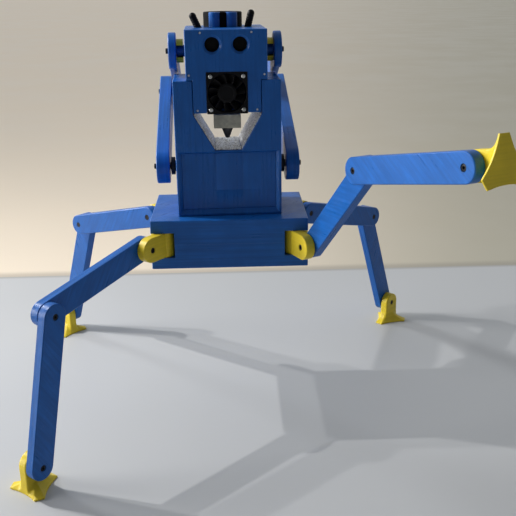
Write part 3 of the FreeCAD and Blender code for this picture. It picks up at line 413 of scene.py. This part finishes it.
def turn_profile(bm, place, profile, closed=False):
    """Solid of revolution about the frame's Z axis. A closed profile makes a tube or a washer."""
    rings = []
    for point in profile:
        radius, height = point[0] * MM, point[1] * MM
        shape = point[2] if len(point) > 2 else "round"
        if radius == 0:
            rings.append([bm.verts.new(place @ Vector((0, 0, height)))])
            continue
        ring = []
        for k in range(RING):
            angle = math.tau * k / RING
            r = radius * ring_scale(shape, angle, k)
            ring.append(bm.verts.new(place @ Vector((r * math.cos(angle), r * math.sin(angle), height))))
        rings.append(ring)
    if closed:
        rings.append(rings[0])
    for a, b in zip(rings, rings[1:]):
        join_rings(bm, a, b)


def screw(bm, place, length, head, shank_r=1.5):
    """Screw with the underside of its head at the frame's origin and its head towards Z."""
    tip = ((0, -length), (shank_r - 0.3, -length), (shank_r, 0.3 - length))
    turn_profile(bm, place, tip + head)


def shape_object(name, bm):
    """Turns a mesh under construction into an object of the scene."""
    bmesh.ops.recalc_face_normals(bm, faces=bm.faces)
    mesh = bpy.data.meshes.new(name)
    bm.to_mesh(mesh)
    bm.free()
    piece = bpy.data.objects.new(name, mesh)
    bpy.context.scene.collection.objects.link(piece)
    return piece


def add_piece(name, bm, node, material, sharp=35.0):
    """Finishes a mesh as the visual piece that stands for one CAD node."""
    install(shape_object(name, bm), node, material, sharp)


def install(piece, node, material, sharp=35.0):
    """Shades a piece, gives it its material, and lets it ride on the body of the node it replaces."""
    for polygon in piece.data.polygons:
        polygon.use_smooth = True
    piece.data.set_sharp_from_angle(angle=math.radians(sharp))
    dress(piece, material)
    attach(piece, BODY_OF[node])
    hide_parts(node)


def cut_out(piece, place, profile):
    """Subtracts a turned solid from a piece."""
    bm = bmesh.new()
    turn_profile(bm, place, profile)
    cutter = shape_object(piece.name + "_cutter", bm)
    modifier = piece.modifiers.new("holes", "BOOLEAN")
    modifier.object = cutter
    modifier.operation = "DIFFERENCE"
    modifier.solver = "EXACT"
    solid = bpy.data.meshes.new_from_object(piece.evaluated_get(bpy.context.evaluated_depsgraph_get()))
    piece.modifiers.clear()
    piece.data = solid
    bpy.data.objects.remove(cutter)


def deck(x, y, z):
    """Point of the torso and head, in mm from the centre of the deck."""
    return WAIST @ (Vector((x, y, z)) * MM)


def facing(origin, z):
    """Frame at a point with its Z along a direction. X is upright, or sideways if Z itself is upright."""
    z = z.normalized()
    x = UP if abs(z.dot(UP)) < 0.7 else RIGHT
    return axes(origin, x - z * x.dot(z), z)


def span_along(node, place, near=3.4):
    """Lowest and highest point of a node close to a frame's Z axis, on the positive side of -12 mm."""
    heights = [p.z / MM for p in local_points(node, place) if math.hypot(p.x, p.y) < near * MM]
    heights = [h for h in heights if h > -12.0]
    return min(heights), max(heights)


# ---------------------------------------------------------------- fasteners
def leg_bolts(leg):
    """Cap screw and nut of each pivot, sunk in the links."""
    sets = ((leg.name + "_hip_bolt", (leg.hip,)), (leg.name + "_shin_bolts", (leg.knee, leg.ankle)))
    for node, pivots in sets:
        bm = bmesh.new()
        for pivot in pivots:
            head = facing(pivot + leg.bolt_side * HEAD_SEAT * MM, leg.bolt_side)
            screw(bm, head, HEAD_SEAT - NUT_START, CAP_HEAD)
            turn_profile(bm, facing(pivot + leg.bolt_side * NUT_START * MM, leg.bolt_side), NUT_RING, True)
        add_piece(node + "_turned", bm, node, BLACK_STEEL)


def side_screws(node, centre):
    """Cap screws along the torso's width, one through a point on its right side and one mirrored."""
    bm = bmesh.new()
    for side in (-1, 1):
        axis = RIGHT * side
        origin = centre if side > 0 else centre - RIGHT * 2 * (centre - WAIST.translation).dot(RIGHT)
        low, high = span_along(node, facing(origin, axis))
        screw(bm, facing(origin + axis * (high - CAP_H) * MM, axis), high - CAP_H - low, CAP_HEAD)
    add_piece(node + "_turned", bm, node, BLACK_STEEL)


def elbow(side, name):
    """Bolt, nut and spacer between a lower and an upper arm."""
    node = name + "_elbow_hardware"
    centre = joint_place(name + "_elbow")
    place = facing(centre, RIGHT * side)
    low, high = span_along(node, place, 2.9)
    bm = bmesh.new()
    seat = facing(centre + RIGHT * side * (high - CAP_H) * MM, RIGHT * side)
    screw(bm, seat, high - CAP_H - low, CAP_HEAD)
    turn_profile(bm, facing(centre + RIGHT * side * (low + BOLT_PAST_NUT) * MM, RIGHT * side), NUT_RING, True)
    spacer = ((1.55, -3.9), (5.7, -3.9), (6.0, -3.6), (6.0, -0.3), (5.7, 0), (1.55, 0))
    turn_profile(bm, place, spacer, True)
    add_piece(node + "_turned", bm, node, BLACK_STEEL)


def upright_pins():
    """Screws of the base and pins of the hubs."""
    low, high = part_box("base_screws")
    bm = bmesh.new()
    for x in (low.x + CAP_R * MM, high.x - CAP_R * MM):
        for y in (low.y + CAP_R * MM, high.y - CAP_R * MM):
            seat = facing(Vector((x, y, low.z + CAP_H * MM)), -UP)
            screw(bm, seat, (high.z - low.z) / MM - CAP_H, CAP_HEAD)
    add_piece("base_screws_turned", bm, "base_screws", BLACK_STEEL)

    bm = bmesh.new()
    low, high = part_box("hub_pins")
    half = (high.z - low.z) / MM / 2
    for leg in LEG.values():
        rim = ((0, -half), (2.1, -half), (2.5, 0.5 - half), (2.5, half - 0.5), (2.1, half), (0, half))
        turn_profile(bm, facing(Vector((leg.hub.x, leg.hub.y, (low.z + high.z) / 2)), UP), rim)
    add_piece("hub_pins_turned", bm, "hub_pins", BRIGHT_STEEL)


def torso_screws():
    """Four button screws that hold the rear cover."""
    bm = bmesh.new()
    low, high = local_box("torso_screws", WAIST)
    for x in (low.x + CAP_R * MM, high.x - CAP_R * MM):
        for z in (low.z + CAP_R * MM, high.z - CAP_R * MM):
            origin = WAIST @ Vector((x, high.y - BUTTON_H * MM, z))
            screw(bm, facing(origin, -FRONTWARD), 9.0, BUTTON_HEAD)
    add_piece("torso_screws_turned", bm, "torso_screws", BLACK_STEEL)


BEARING_DEPTH = 5.15
FACE_Y = -35.8
FACE_SCREWS = ((24.5, 180.0), (36.6, 140.5), (29.2, 106.6))


def face_screws():
    """Six tiny bright screws in the face plate, three down each side."""
    bm = bmesh.new()
    for x, z in FACE_SCREWS:
        for side in (-1, 1):
            screw(bm, facing(deck(side * x, FACE_Y, z), FRONTWARD), 8.0, TINY_HEAD, 0.7)
    add_piece("face_screws_turned", bm, "face_screws", PALE_STEEL)


def bearings():
    """A dark flanged bearing between the torso and each lower arm."""
    bm = bmesh.new()
    high = local_box("shoulder_bearings", WAIST)[1]
    shoulder = joint_place("right_shoulder")
    y, z = (WAIST.inverted() @ shoulder)[1:]
    for side in (-1, 1):
        start = WAIST @ Vector((side * (high.x - BEARING_DEPTH * MM), y, z))
        turn_profile(bm, facing(start, RIGHT * side), BEARING_RING, True)
    add_piece("shoulder_bearings_turned", bm, "shoulder_bearings", BLACK_STEEL)


# ---------------------------------------------------------------- fan
BLADES = 11
FAN_HOLE_PITCH = 32.0
BLADE_ROOT, BLADE_TIP = 9.1, 18.1
BLADE_SWEEP = math.radians(8.0)
BLADE_FRONT, BLADE_DEPTH = -1.5, 5.4
# angle from a blade's front to its back edge, in degrees: at the root, and how much less at the tip
BLADE_SPAN, BLADE_SPAN_LOSS = 27.0, 4.0
FAN = facing(joint_place("fan_spin"), FRONTWARD)


def blade_point(radius, chord):
    """Middle surface of a swept, twisted blade in mm: chord runs from 0 in front to 1 behind."""
    span = (radius - BLADE_ROOT) / (BLADE_TIP - BLADE_ROOT)
    sweep = BLADE_SWEEP * span ** 1.3
    width = math.radians(BLADE_SPAN - BLADE_SPAN_LOSS * span)
    angle = sweep + width * chord
    height = BLADE_FRONT - (BLADE_DEPTH - 0.8 * span) * (chord + 0.10 * math.sin(math.pi * chord))
    return Vector((radius * math.cos(angle), radius * math.sin(angle), height))


def blade(bm, place, turn):
    """One closed blade, thickest in the middle of its chord."""
    across, along = 9, 8
    spin = Matrix.Rotation(turn, 4, "Z")
    skins = ([], [])
    for i in range(along + 1):
        radius = BLADE_ROOT + (BLADE_TIP - BLADE_ROOT) * i / along
        rows = ([], [])
        for j in range(across + 1):
            chord = j / across
            point = blade_point(radius, chord)
            ahead = blade_point(radius, chord + 0.01) - point
            outward = blade_point(radius + 0.1, chord) - point
            normal = ahead.cross(outward).normalized()
            thickness = 0.16 + 0.36 * math.sin(math.pi * chord) ** 0.6
            for row, sign in zip(rows, (1, -1)):
                row.append(bm.verts.new(place @ (spin @ ((point + normal * thickness * sign) * MM))))
        for skin, row in zip(skins, rows):
            skin.append(row)
    loops = [upper + lower[::-1] for upper, lower in zip(*skins)]
    for a, b in zip(loops, loops[1:]):
        join_rings(bm, a, b)
    for loop in (loops[0], loops[-1]):
        for j in range(across):
            bm.faces.new((loop[j], loop[j + 1], loop[-2 - j], loop[-1 - j]))


def fan_rotor():
    """Hollow hub with a ring of blades, inside the bore of the fan's frame."""
    hub = ((0, -1.25), (6.6, -1.25), (6.8, -1.0), (8.4, -1.0), (9.1, -1.25), (9.5, -1.9), (9.5, -7.4),
           (8.2, -7.4), (8.2, -5.0), (1.58, -5.0), (1.58, -4.1), (0, -4.1))
    bm = bmesh.new()
    turn_profile(bm, FAN, hub)
    for k in range(BLADES):
        blade(bm, FAN, math.tau * k / BLADES)
    add_piece("fan_rotor_moulded", bm, "fan_rotor", BLACK_PLASTIC, 50.0)


def fan_screws():
    """Four dome screws at the fan's 32 mm hole pitch."""
    low = local_box("fan_screws", FAN)[0]
    half = FAN_HOLE_PITCH / 2
    bm = bmesh.new()
    for x in (-half, half):
        for y in (-half, half):
            origin = FAN @ (Vector((x, y, 0)) * MM)
            screw(bm, facing(origin, FRONTWARD), -low.z / MM, DOME_HEAD)
    add_piece("fan_screws_turned", bm, "fan_screws", BRIGHT_STEEL)


# ---------------------------------------------------------------- eyes
def rounded_plate(bm, place, half_x, half_y, thickness, corner):
    """Flat plate with rounded corners, its front face in the frame's XY plane and its body behind it."""
    outline = []
    for sx, sy, start in ((1, 1, 0), (-1, 1, 90), (-1, -1, 180), (1, -1, 270)):
        for step in range(5):
            angle = math.radians(start + 22.5 * step)
            x = sx * (half_x - corner) + corner * math.cos(angle)
            y = sy * (half_y - corner) + corner * math.sin(angle)
            outline.append((x, y))
    front = [bm.verts.new(place @ (Vector((x, y, 0)) * MM)) for x, y in outline]
    back = [bm.verts.new(place @ (Vector((x, y, -thickness)) * MM)) for x, y in outline]
    join_rings(bm, front, back)
    bm.faces.new(front)
    bm.faces.new(back[::-1])


EYE_X, EYE_Y, EYE_Z = 13.5, -30.6, 169.0
SENSOR_BOARD = (0, -18.6, 168.5)
MESH_R, MESH_PITCH = 6.7, 1.45


def eye_sensor():
    """Two open cans with a woven mesh in each, on one board behind the eye holes."""
    can = ((0, -12), (7.9, -12), (7.9, -0.35), (7.6, 0), (7.05, 0), (6.8, -0.25), (6.8, -2.6), (0, -2.2))
    bm = bmesh.new()
    for side in (-1, 1):
        place = facing(deck(side * EYE_X, EYE_Y, EYE_Z), FRONTWARD)
        turn_profile(bm, place, can)
        for k in range(-4, 5):
            half = math.sqrt(MESH_R ** 2 - (MESH_PITCH * k) ** 2)
            shift = Matrix.Translation(Vector((MESH_PITCH * k, 0, -1.75)) * MM)
            for spin in (0, math.pi / 2):
                bar = place @ Matrix.Rotation(spin, 4, "Z") @ shift
                rounded_plate(bm, bar, 0.17, half, 0.3, 0.08)
    board = facing(deck(*SENSOR_BOARD), FRONTWARD)
    rounded_plate(bm, board @ Matrix.Rotation(math.pi / 2, 4, "Z"), 23.0, 9.5, 1.6, 1.5)
    add_piece("eye_sensor_cans", bm, "eye_sensor", BLACK_PLASTIC)


# ---------------------------------------------------------------- hot end
def cast_block(bm, place, half, bevel, rough):
    """Rough-faced block with rounded edges, centred in the frame."""
    local = bmesh.new()
    bmesh.ops.create_cube(local, size=2.0)
    for vertex in local.verts:
        vertex.co = Vector([c * h * MM for c, h in zip(vertex.co, half)])
    bmesh.ops.bevel(local, geom=local.edges[:], offset=bevel * MM, segments=3, profile=0.5, affect="EDGES")
    bmesh.ops.subdivide_edges(local, edges=[e for e in local.edges if e.calc_length() > 4 * MM], cuts=9,
                              use_grid_fill=True)
    for vertex in local.verts:
        inward = 0.5 + 0.5 * noise.noise(vertex.co * 260.0)
        vertex.co -= vertex.co.normalized() * rough * MM * max(0.0, inward)
    made = {}
    for vertex in local.verts:
        made[vertex] = bm.verts.new(place @ vertex.co)
    for face in local.faces:
        bm.faces.new([made[vertex] for vertex in face.verts])
    local.free()


BLOCK_HALF = (13.7, 8.0, 7.0)


def hot_end():
    """Heater block and the nozzle below it."""
    centre = middle("heater_block")
    bm = bmesh.new()
    cast_block(bm, axes(centre, RIGHT, UP), BLOCK_HALF, 0.9, 0.12)
    add_piece("heater_block_cast", bm, "heater_block", BLOCK_GREY, 30.0)

    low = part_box("nozzle")[0]
    axis = middle("nozzle")
    place = axes(Vector((axis.x, axis.y, low.z)), RIGHT, UP)
    outline = ((0.4, 0), (1.2, 0), (2.0, 0.25), (2.15, 0.45), (5.35, 8.8), (5.35, 9.2), (5.7, 9.3),
               (5.7, 10.45), (5.5, 10.6), (0.4, 10.6))
    bm = bmesh.new()
    turn_profile(bm, place, outline, True)
    add_piece("nozzle_turned", bm, "nozzle", NOZZLE_DARK)


# ---------------------------------------------------------------- mouth lining and front panel
def rough_slab(bm, corner, x, y, size, cells, wave):
    """Thin plate from a corner along x and y, with an uneven top and an uneven front edge.

    size is width, depth and thickness in mm; the front edge is where the depth starts.
    """
    z = x.cross(y)
    width, depth, thickness = size
    across, along = cells
    skins = []
    for level in (0.0, 1.0):
        rows = []
        for j in range(along + 1):
            row = []
            for i in range(across + 1):
                u, v = i / across, j / along
                edge = wave * (0.5 + 0.5 * noise.noise(Vector((u * 9.0, 3.1, 0.7)))) * (1 - v) ** 12
                dip = 0.14 * (0.5 + 0.5 * noise.noise(Vector((u * width, v * depth, 5.0)) * 0.7))
                dip += 0.16 * (0.5 + 0.5 * noise.noise(Vector((u * width * 0.22, v * depth * 0.06, 9.0))))
                lift = thickness - dip if level else 0.0
                reach = v * depth + edge * (1 - level * 0.4)
                row.append(bm.verts.new(corner + (x * (u * width) + y * reach + z * lift) * MM))
            rows.append(row)
        skins.append(rows)
    for rows in skins:
        for a, b in zip(rows, rows[1:]):
            for i in range(across):
                bm.faces.new((a[i], a[i + 1], b[i + 1], b[i]))
    rims = []
    for rows in skins:
        left = [row[0] for row in rows[1:-1]]
        right = [row[-1] for row in rows[1:-1]]
        rims.append(rows[0] + right + rows[-1][::-1] + left[::-1])
    join_rings(bm, rims[0], rims[1])


# lower inner corner of the mouth's slope: how far sideways, in front and up
MOUTH_CORNER_X, MOUTH_FRONT_Y, MOUTH_CORNER_Z = 13.1, -35.6, 67.0
# a side slopes by run and rise, and its sheet lies between start and end along the slope
SLOPE_RUN, SLOPE_RISE = 20.8, 35.8
SLOPE_START, SLOPE_END = 1.6, 40.6
SLOPE_T = 1.2


def mouth_lining():
    """Floor and two sloping sides of the V-shaped mouth."""
    depthward = -FRONTWARD
    low, high = local_box("mouth_floor_liner", WAIST)
    size = (high - low) / MM
    bm = bmesh.new()
    rough_slab(bm, WAIST @ low, RIGHT, depthward, (size.x, size.y, size.z), (40, 60), 1.1)
    add_piece("mouth_floor_sheet", bm, "mouth_floor_liner", LINER_GREY, 60.0)

    slope = math.hypot(SLOPE_RUN, SLOPE_RISE)
    length = SLOPE_END - SLOPE_START
    bm = bmesh.new()
    for side in (-1, 1):
        along = (RIGHT * side * SLOPE_RUN + UP * SLOPE_RISE) / slope
        x = MOUTH_CORNER_X + SLOPE_RUN / slope * SLOPE_START
        z = MOUTH_CORNER_Z + SLOPE_RISE / slope * SLOPE_START
        corner = deck(side * x, MOUTH_FRONT_Y, z)
        if side < 0:
            corner += along * length * MM
            along = -along
        rough_slab(bm, corner, along, depthward, (length, size.y, SLOPE_T), (48, 60), 0.5)
    add_piece("mouth_side_sheets", bm, "mouth_side_liners", LINER_GREY, 60.0)


PANEL_LINES_X = (-13.1, 13.6)
PANEL_LINE_Z = 26.0
PANEL_EDGE = 0.3
NEAR_EDGE = PANEL_EDGE + 0.01
LINE_HALF = 0.35
LINE_DEPTH = 0.16


def front_panel():
    """Recessed panel whose face shows the shallow lines of the ribs behind it."""
    low, high = local_box("torso_front_panel", WAIST)
    low, high = low / MM, high / MM
    steps = (-LINE_HALF, 0, LINE_HALF)
    xs = [low.x + PANEL_EDGE] + [x + d for x in PANEL_LINES_X for d in steps] + [high.x - PANEL_EDGE]
    zs = [low.z + PANEL_EDGE] + [PANEL_LINE_Z + d for d in steps] + [high.z - PANEL_EDGE]

    def sunk(x, z):
        upright = x in PANEL_LINES_X and z >= PANEL_LINE_Z
        level = z == PANEL_LINE_Z and PANEL_LINES_X[0] <= x <= PANEL_LINES_X[1]
        return LINE_DEPTH if upright or level else 0.0

    bm = bmesh.new()
    rows = [[bm.verts.new(deck(x, low.y + sunk(x, z), z)) for x in xs] for z in zs]
    for a, b in zip(rows, rows[1:]):
        for i in range(len(xs) - 1):
            bm.faces.new((a[i], a[i + 1], b[i + 1], b[i]))
    front = rows[0] + [row[-1] for row in rows[1:-1]] + rows[-1][::-1] + [row[0] for row in rows[1:-1]][::-1]

    def rim(y, grow):
        ring = []
        for vertex in front:
            point = WAIST.inverted() @ vertex.co / MM
            x = min(max(point.x, low.x + PANEL_EDGE), high.x - PANEL_EDGE)
            x += grow * ((x > high.x - NEAR_EDGE) - (x < low.x + NEAR_EDGE))
            z = point.z + grow * ((point.z > high.z - NEAR_EDGE) - (point.z < low.z + NEAR_EDGE))
            ring.append(bm.verts.new(deck(x, y, z)))
        return ring

    shoulder = rim(low.y + PANEL_EDGE, PANEL_EDGE)
    back = rim(high.y, PANEL_EDGE)
    join_rings(bm, front, shoulder)
    join_rings(bm, shoulder, back)
    bm.faces.new(back)
    add_piece("torso_front_plate", bm, "torso_front_panel", SHELL_BLUE, 25.0)


# ---------------------------------------------------------------- head top
HEAD_PIVOT = (39.7, 8.0, 160.6)
HEAD_TOP = 182.9
ANTENNA_Y = 5.0
ANTENNA_R = 3.5
ANTENNA_SINK = 4.0
RIB_DEPTH = 0.25
# sideways place, length and outward lean in degrees of each rod
ANTENNAS = ((-26.4, 12.0, -24.0), (23.4, 13.5, 14.5))


def antennas():
    """Short black rods with shallow ribs and round tips, leaning outwards."""
    bm = bmesh.new()
    top = deck(0, 0, HEAD_TOP)
    waist = ANTENNA_R - RIB_DEPTH
    for x, reach, tilt in ANTENNAS:
        profile = [(0, -ANTENNA_SINK), (ANTENNA_R, -ANTENNA_SINK)]
        for rib in range(5):
            z = 1.2 + 2.2 * rib
            profile += [(ANTENNA_R, z), (waist, z + 0.25), (waist, z + 0.55), (ANTENNA_R, z + 0.8)]
        for a in (0, 0.3, 0.6, 0.9, 1.2, 1.4):
            profile.append((ANTENNA_R * math.cos(a), reach + ANTENNA_R * math.sin(a)))
        profile.append((0, reach + ANTENNA_R))
        lean = math.radians(tilt)
        along = UP * math.cos(lean) + RIGHT * math.sin(lean)
        across = RIGHT * math.cos(lean) - UP * math.sin(lean)
        turn_profile(bm, axes(deck(x, ANTENNA_Y, HEAD_TOP), across, along), profile)
    everything = bm.verts[:] + bm.edges[:] + bm.faces[:]
    sliced = bmesh.ops.bisect_plane(bm, geom=everything, plane_co=top, plane_no=UP, clear_inner=True)
    rims = [item for item in sliced["geom_cut"] if isinstance(item, bmesh.types.BMEdge)]
    bmesh.ops.holes_fill(bm, edges=rims, sides=0)
    add_piece("antenna_rods", bm, "antennas", BLACK_PLASTIC, 50.0)


# ---------------------------------------------------------------- feet
TOE_R = 22.5
TOE_HALF = 4.7
SCOOP_R = 13.0
EAR_HALF_W = 12.0
EAR_HALF_T = 4.925
FLARE_START, FLARE_TOP = 1.6, 14.5
NUT_POCKET = 2.7
FOOT_RAYS = 96
# heights of the slices of a foot: close together where the flare turns, then round the ear's arch
FLARE_LEVELS = [1.0, 1.6, 2.0, 2.5, 3.1, 3.8, 4.6, 5.5, 6.5, 7.6, 8.8, 10.0, 11.2, 12.4, 13.5, 14.5,
                17.0, 20.0, 23.0]
ARCH_DEGREES = (0, 12, 24, 36, 46, 55, 63, 70, 76, 81, 85, 88.5)


def toe_radius(angle):
    """Distance from the foot's axis to the edge of the three-toed sole."""
    turn = math.radians(120)
    off = abs((angle + turn / 2) % turn - turn / 2)
    if off <= math.atan2(TOE_HALF, TOE_R):
        return TOE_R / math.cos(off)
    corner = math.hypot(TOE_R, TOE_HALF)
    bisector = turn / 2 - math.atan2(TOE_HALF, TOE_R)
    chord, rise = corner * math.sin(bisector), corner * math.cos(bisector) - SCOOP_R
    arc_r = (chord ** 2 + rise ** 2) / (2 * rise)
    centre = SCOOP_R + arc_r
    phi = turn / 2 - off
    return centre * math.cos(phi) - math.sqrt(arc_r ** 2 - (centre * math.sin(phi)) ** 2)


def ear_radius(angle, half_w, half_t):
    """Distance to the edge of the upright ear's rectangular section, with slightly rounded corners."""
    power = 14.0
    along, across = abs(math.cos(angle)) / half_w, abs(math.sin(angle)) / half_t
    return (along ** power + across ** power) ** (-1 / power)


def foot_ring(bm, place, height, phase, inset=0.0):
    """One level slice of the foot in mm above the sole."""
    arch = max(0.0, height - ANKLE_H)
    half_w = math.sqrt(max(0.09, EAR_HALF_W ** 2 - arch ** 2))
    flare = min(1.0, max(0.0, (FLARE_TOP - height) / (FLARE_TOP - FLARE_START))) ** 2.3
    ring = []
    for k in range(FOOT_RAYS):
        angle = math.tau * k / FOOT_RAYS
        ear = ear_radius(angle, half_w, EAR_HALF_T)
        radius = ear + (max(toe_radius(angle - phase), ear) - ear) * flare - inset
        point = Vector((radius * math.cos(angle), radius * math.sin(angle), height))
        ring.append(bm.verts.new(place @ (point * MM)))
    return ring


def foot(leg):
    """Three-toed foot that flares out of the flat ear at its ankle."""
    node = leg.name + "_foot"
    lean = math.radians(RAISED_FOOT_PITCH + 90) if leg.raised else 0.0
    ahead = leg.out * math.cos(lean) + UP * math.sin(lean)
    above = UP * math.cos(lean) - leg.out * math.sin(lean)
    ankle = leg.ankle + leg.bolt_side * FOOT_CENTRE * MM
    place = axes(ankle - above * ANKLE_H * MM, ahead, above)
    phase = math.pi if leg.hand > 0 else 0.0
    bm = bmesh.new()
    rings = [foot_ring(bm, place, 0.0, phase, 0.35), foot_ring(bm, place, 0.35, phase)]
    levels = FLARE_LEVELS + [ANKLE_H + EAR_HALF_W * math.sin(math.radians(d)) for d in ARCH_DEGREES]
    rings += [foot_ring(bm, place, level, phase) for level in levels]
    for a, b in zip(rings, rings[1:]):
        join_rings(bm, a, b)
    bm.faces.new(rings[0][::-1])
    bm.faces.new(rings[-1])
    piece = shape_object(node + "_shaped", bm)
    nut_side = facing(ankle - leg.bolt_side * (EAR_HALF_T - NUT_POCKET) * MM, -leg.bolt_side)
    hole = ((0, -12.0), (1.57, -12.0), (1.57, 0), (3.3, 0), (3.3, 6.0), (0, 6.0))
    cut_out(piece, nut_side, hole)
    install(piece, node, BRACKET_YELLOW, 40.0)


# ---------------------------------------------------------------- stage, light and camera
FLOOR_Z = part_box("front_left_foot")[0].z
FLOOR_REACH = 40.0
WALL_Y = 0.388
# colours of the surface beyond the table at its left and right, and the range over which they blend: painted
# light, lighter on the left as if lit from there
WALL_LIT_LEFT = (0.95, 0.82, 0.66, 1)
WALL_SHADED_RIGHT = (0.54, 0.50, 0.393, 1)
WALL_LIGHT_FALLOFF = (-0.10, 0.40)
CAMERA_PLACE = Vector((0.0063, -0.8170, 0.2728))
CAMERA_PITCH = math.radians(19.03)
CAMERA_YAW = math.radians(1.66)
CAMERA_ROLL = math.radians(-0.82)
CAMERA_LENS = 55.2


def floor_material():
    """White table top, and a cream surface beyond its far edge, painted lighter on the left as if lit from there,
    with a painted shadow line along the edge.
    """
    shader = Shader("pale_floor", roughness=0.45)
    place = shader.add("NewGeometry", output=0)
    y = shader.add("SeparateXYZ", {"Vector": place}, output=1)
    beyond = shader.scaled(y, WALL_Y - 0.002, WALL_Y + 0.002, 0.0, 1.0)
    # Painted shadow: a thin dark band where the table top meets the surface beyond.
    corner_shadow = shader.math("MULTIPLY", shader.scaled(y, WALL_Y - 0.012, WALL_Y, 0.0, 1.0),
                       shader.scaled(y, WALL_Y + 0.030, WALL_Y + 0.004, 0.0, 1.0))
    cloud = shader.noise(place, 3.0, 4.0)
    top = shader.blend(cloud, (0.56, 0.57, 0.585, 1), (0.61, 0.617, 0.628, 1))
    split = shader.add("SeparateXYZ", {"Vector": place}, output=0)
    # Painted light: the surface beyond the table is drawn lighter to the left and darker to the right.
    bearing = shader.math("DIVIDE", split, shader.math("ADD", shader.math("ABSOLUTE", y), 0.8))
    painted_lit_wall = shader.blend(shader.scaled(bearing, *WALL_LIGHT_FALLOFF, 0.0, 1.0), WALL_LIT_LEFT, WALL_SHADED_RIGHT)
    shade = shader.blend(beyond, top, painted_lit_wall)
    # Darkens that band as a painted shadow.
    shade = shader.blend(shader.math("MULTIPLY", corner_shadow, 0.5), shade, (0.30, 0.27, 0.23, 1))
    return shader.finish(shade, shader.scaled(cloud, 0.3, 0.7, 0.4, 0.55))


def make_floor():
    """Table top and the surface beyond it, as one flat sheet at the height of the soles."""
    mesh = bpy.data.meshes.new("floor")
    corners = [(x * FLOOR_REACH, y * FLOOR_REACH, FLOOR_Z) for x, y in ((-1, -1), (1, -1), (1, 1), (-1, 1))]
    mesh.from_pydata(corners, [], [(0, 1, 2, 3)])
    mesh.materials.append(floor_material())
    floor = bpy.data.objects.new("floor", mesh)
    bpy.context.scene.collection.objects.link(floor)


def make_world():
    """Plain studio: cream for the eye, and soft light that is weaker from the front."""
    world = bpy.data.worlds.new("studio")
    bpy.context.scene.world = world
    world.use_nodes = True
    tree = world.node_tree
    tree.nodes.clear()
    output = tree.nodes.new("ShaderNodeOutputWorld")
    mix = tree.nodes.new("ShaderNodeMixShader")
    rays = tree.nodes.new("ShaderNodeLightPath")
    seen = tree.nodes.new("ShaderNodeBackground")
    seen.inputs["Color"].default_value = (0.47, 0.44, 0.385, 1)
    lit = tree.nodes.new("ShaderNodeBackground")
    direction = tree.nodes.new("ShaderNodeTexCoord")
    split = tree.nodes.new("ShaderNodeSeparateXYZ")
    ramp = tree.nodes.new("ShaderNodeMapRange")
    ramp.inputs["From Min"].default_value = -0.6
    ramp.inputs["From Max"].default_value = 0.5
    ramp.inputs["To Min"].default_value = 0.10
    ramp.inputs["To Max"].default_value = 0.50
    lit.inputs["Color"].default_value = (0.93, 0.97, 1.0, 1)
    links = tree.links
    links.new(direction.outputs["Generated"], split.inputs[0])
    links.new(split.outputs[1], ramp.inputs["Value"])
    links.new(ramp.outputs[0], lit.inputs["Strength"])
    links.new(rays.outputs["Is Camera Ray"], mix.inputs[0])
    links.new(lit.outputs[0], mix.inputs[1])
    links.new(seen.outputs[0], mix.inputs[2])
    links.new(mix.outputs[0], output.inputs["Surface"])


def make_sun(name, bearing, elevation, strength, spread, colour):
    """Soft distant light. bearing is measured from -X towards +Y, in degrees."""
    light = bpy.data.lights.new(name, "SUN")
    light.energy = strength
    light.angle = math.radians(spread)
    light.color = colour
    lamp = bpy.data.objects.new(name, light)
    b, e = math.radians(bearing), math.radians(elevation)
    source = Vector((-math.cos(b) * math.cos(e), math.sin(b) * math.cos(e), math.sin(e)))
    lamp.rotation_euler = source.to_track_quat("Z", "Y").to_euler()
    bpy.context.scene.collection.objects.link(lamp)


def make_lamp(name, place, power):
    """Small lamp to the left of the robot; the pair gives the doubled shadow on the table."""
    light = bpy.data.lights.new(name, "POINT")
    light.energy = power
    light.shadow_soft_size = 0.008
    light.color = (1.0, 0.985, 0.96)
    lamp = bpy.data.objects.new(name, light)
    lamp.location = place
    bpy.context.scene.collection.objects.link(lamp)


def make_camera():
    """Camera in front of the robot and above its base, tilted downwards."""
    data = bpy.data.cameras.new("camera")
    data.lens = CAMERA_LENS
    data.sensor_width = 36.0
    camera = bpy.data.objects.new("camera", data)
    bpy.context.scene.collection.objects.link(camera)
    forward = Vector((math.sin(CAMERA_YAW) * math.cos(CAMERA_PITCH),
                      math.cos(CAMERA_YAW) * math.cos(CAMERA_PITCH), -math.sin(CAMERA_PITCH)))
    level = Vector((math.cos(CAMERA_YAW), -math.sin(CAMERA_YAW), 0))
    above = level.cross(forward)
    right = level * math.cos(CAMERA_ROLL) + above * math.sin(CAMERA_ROLL)
    camera.matrix_world = axes(CAMERA_PLACE, right, -forward)
    bpy.context.scene.camera = camera


def build_pieces():
    """Makes every rebuilt piece."""
    for leg in LEG.values():
        leg_bolts(leg)
        foot(leg)
    side_screws("shoulder_bolts", joint_place("right_shoulder"))
    side_screws("head_pivot_bolts", deck(*HEAD_PIVOT))
    elbow(1, "right")
    elbow(-1, "left")
    upright_pins()
    torso_screws()
    face_screws()
    bearings()
    fan_rotor()
    fan_screws()
    eye_sensor()
    hot_end()
    mouth_lining()
    front_panel()
    antennas()


dress_cad()
build_pieces()
make_floor()
make_world()
make_sun("window_left", 3.0, 11.0, 2.5, 28.0, (1.0, 0.99, 0.97))
make_sun("window_behind", 41.0, 24.0, 0.8, 9.0, (0.95, 0.98, 1.0))
make_lamp("upper_lamp", Vector((-0.627, 0.148, 0.699)), 12.3)
make_lamp("lower_lamp", Vector((-0.605, 0.128, 0.503)), 5.8)
make_camera()
bpy.context.scene.view_settings.view_transform = "Standard"

bpy.context.view_layer.update()
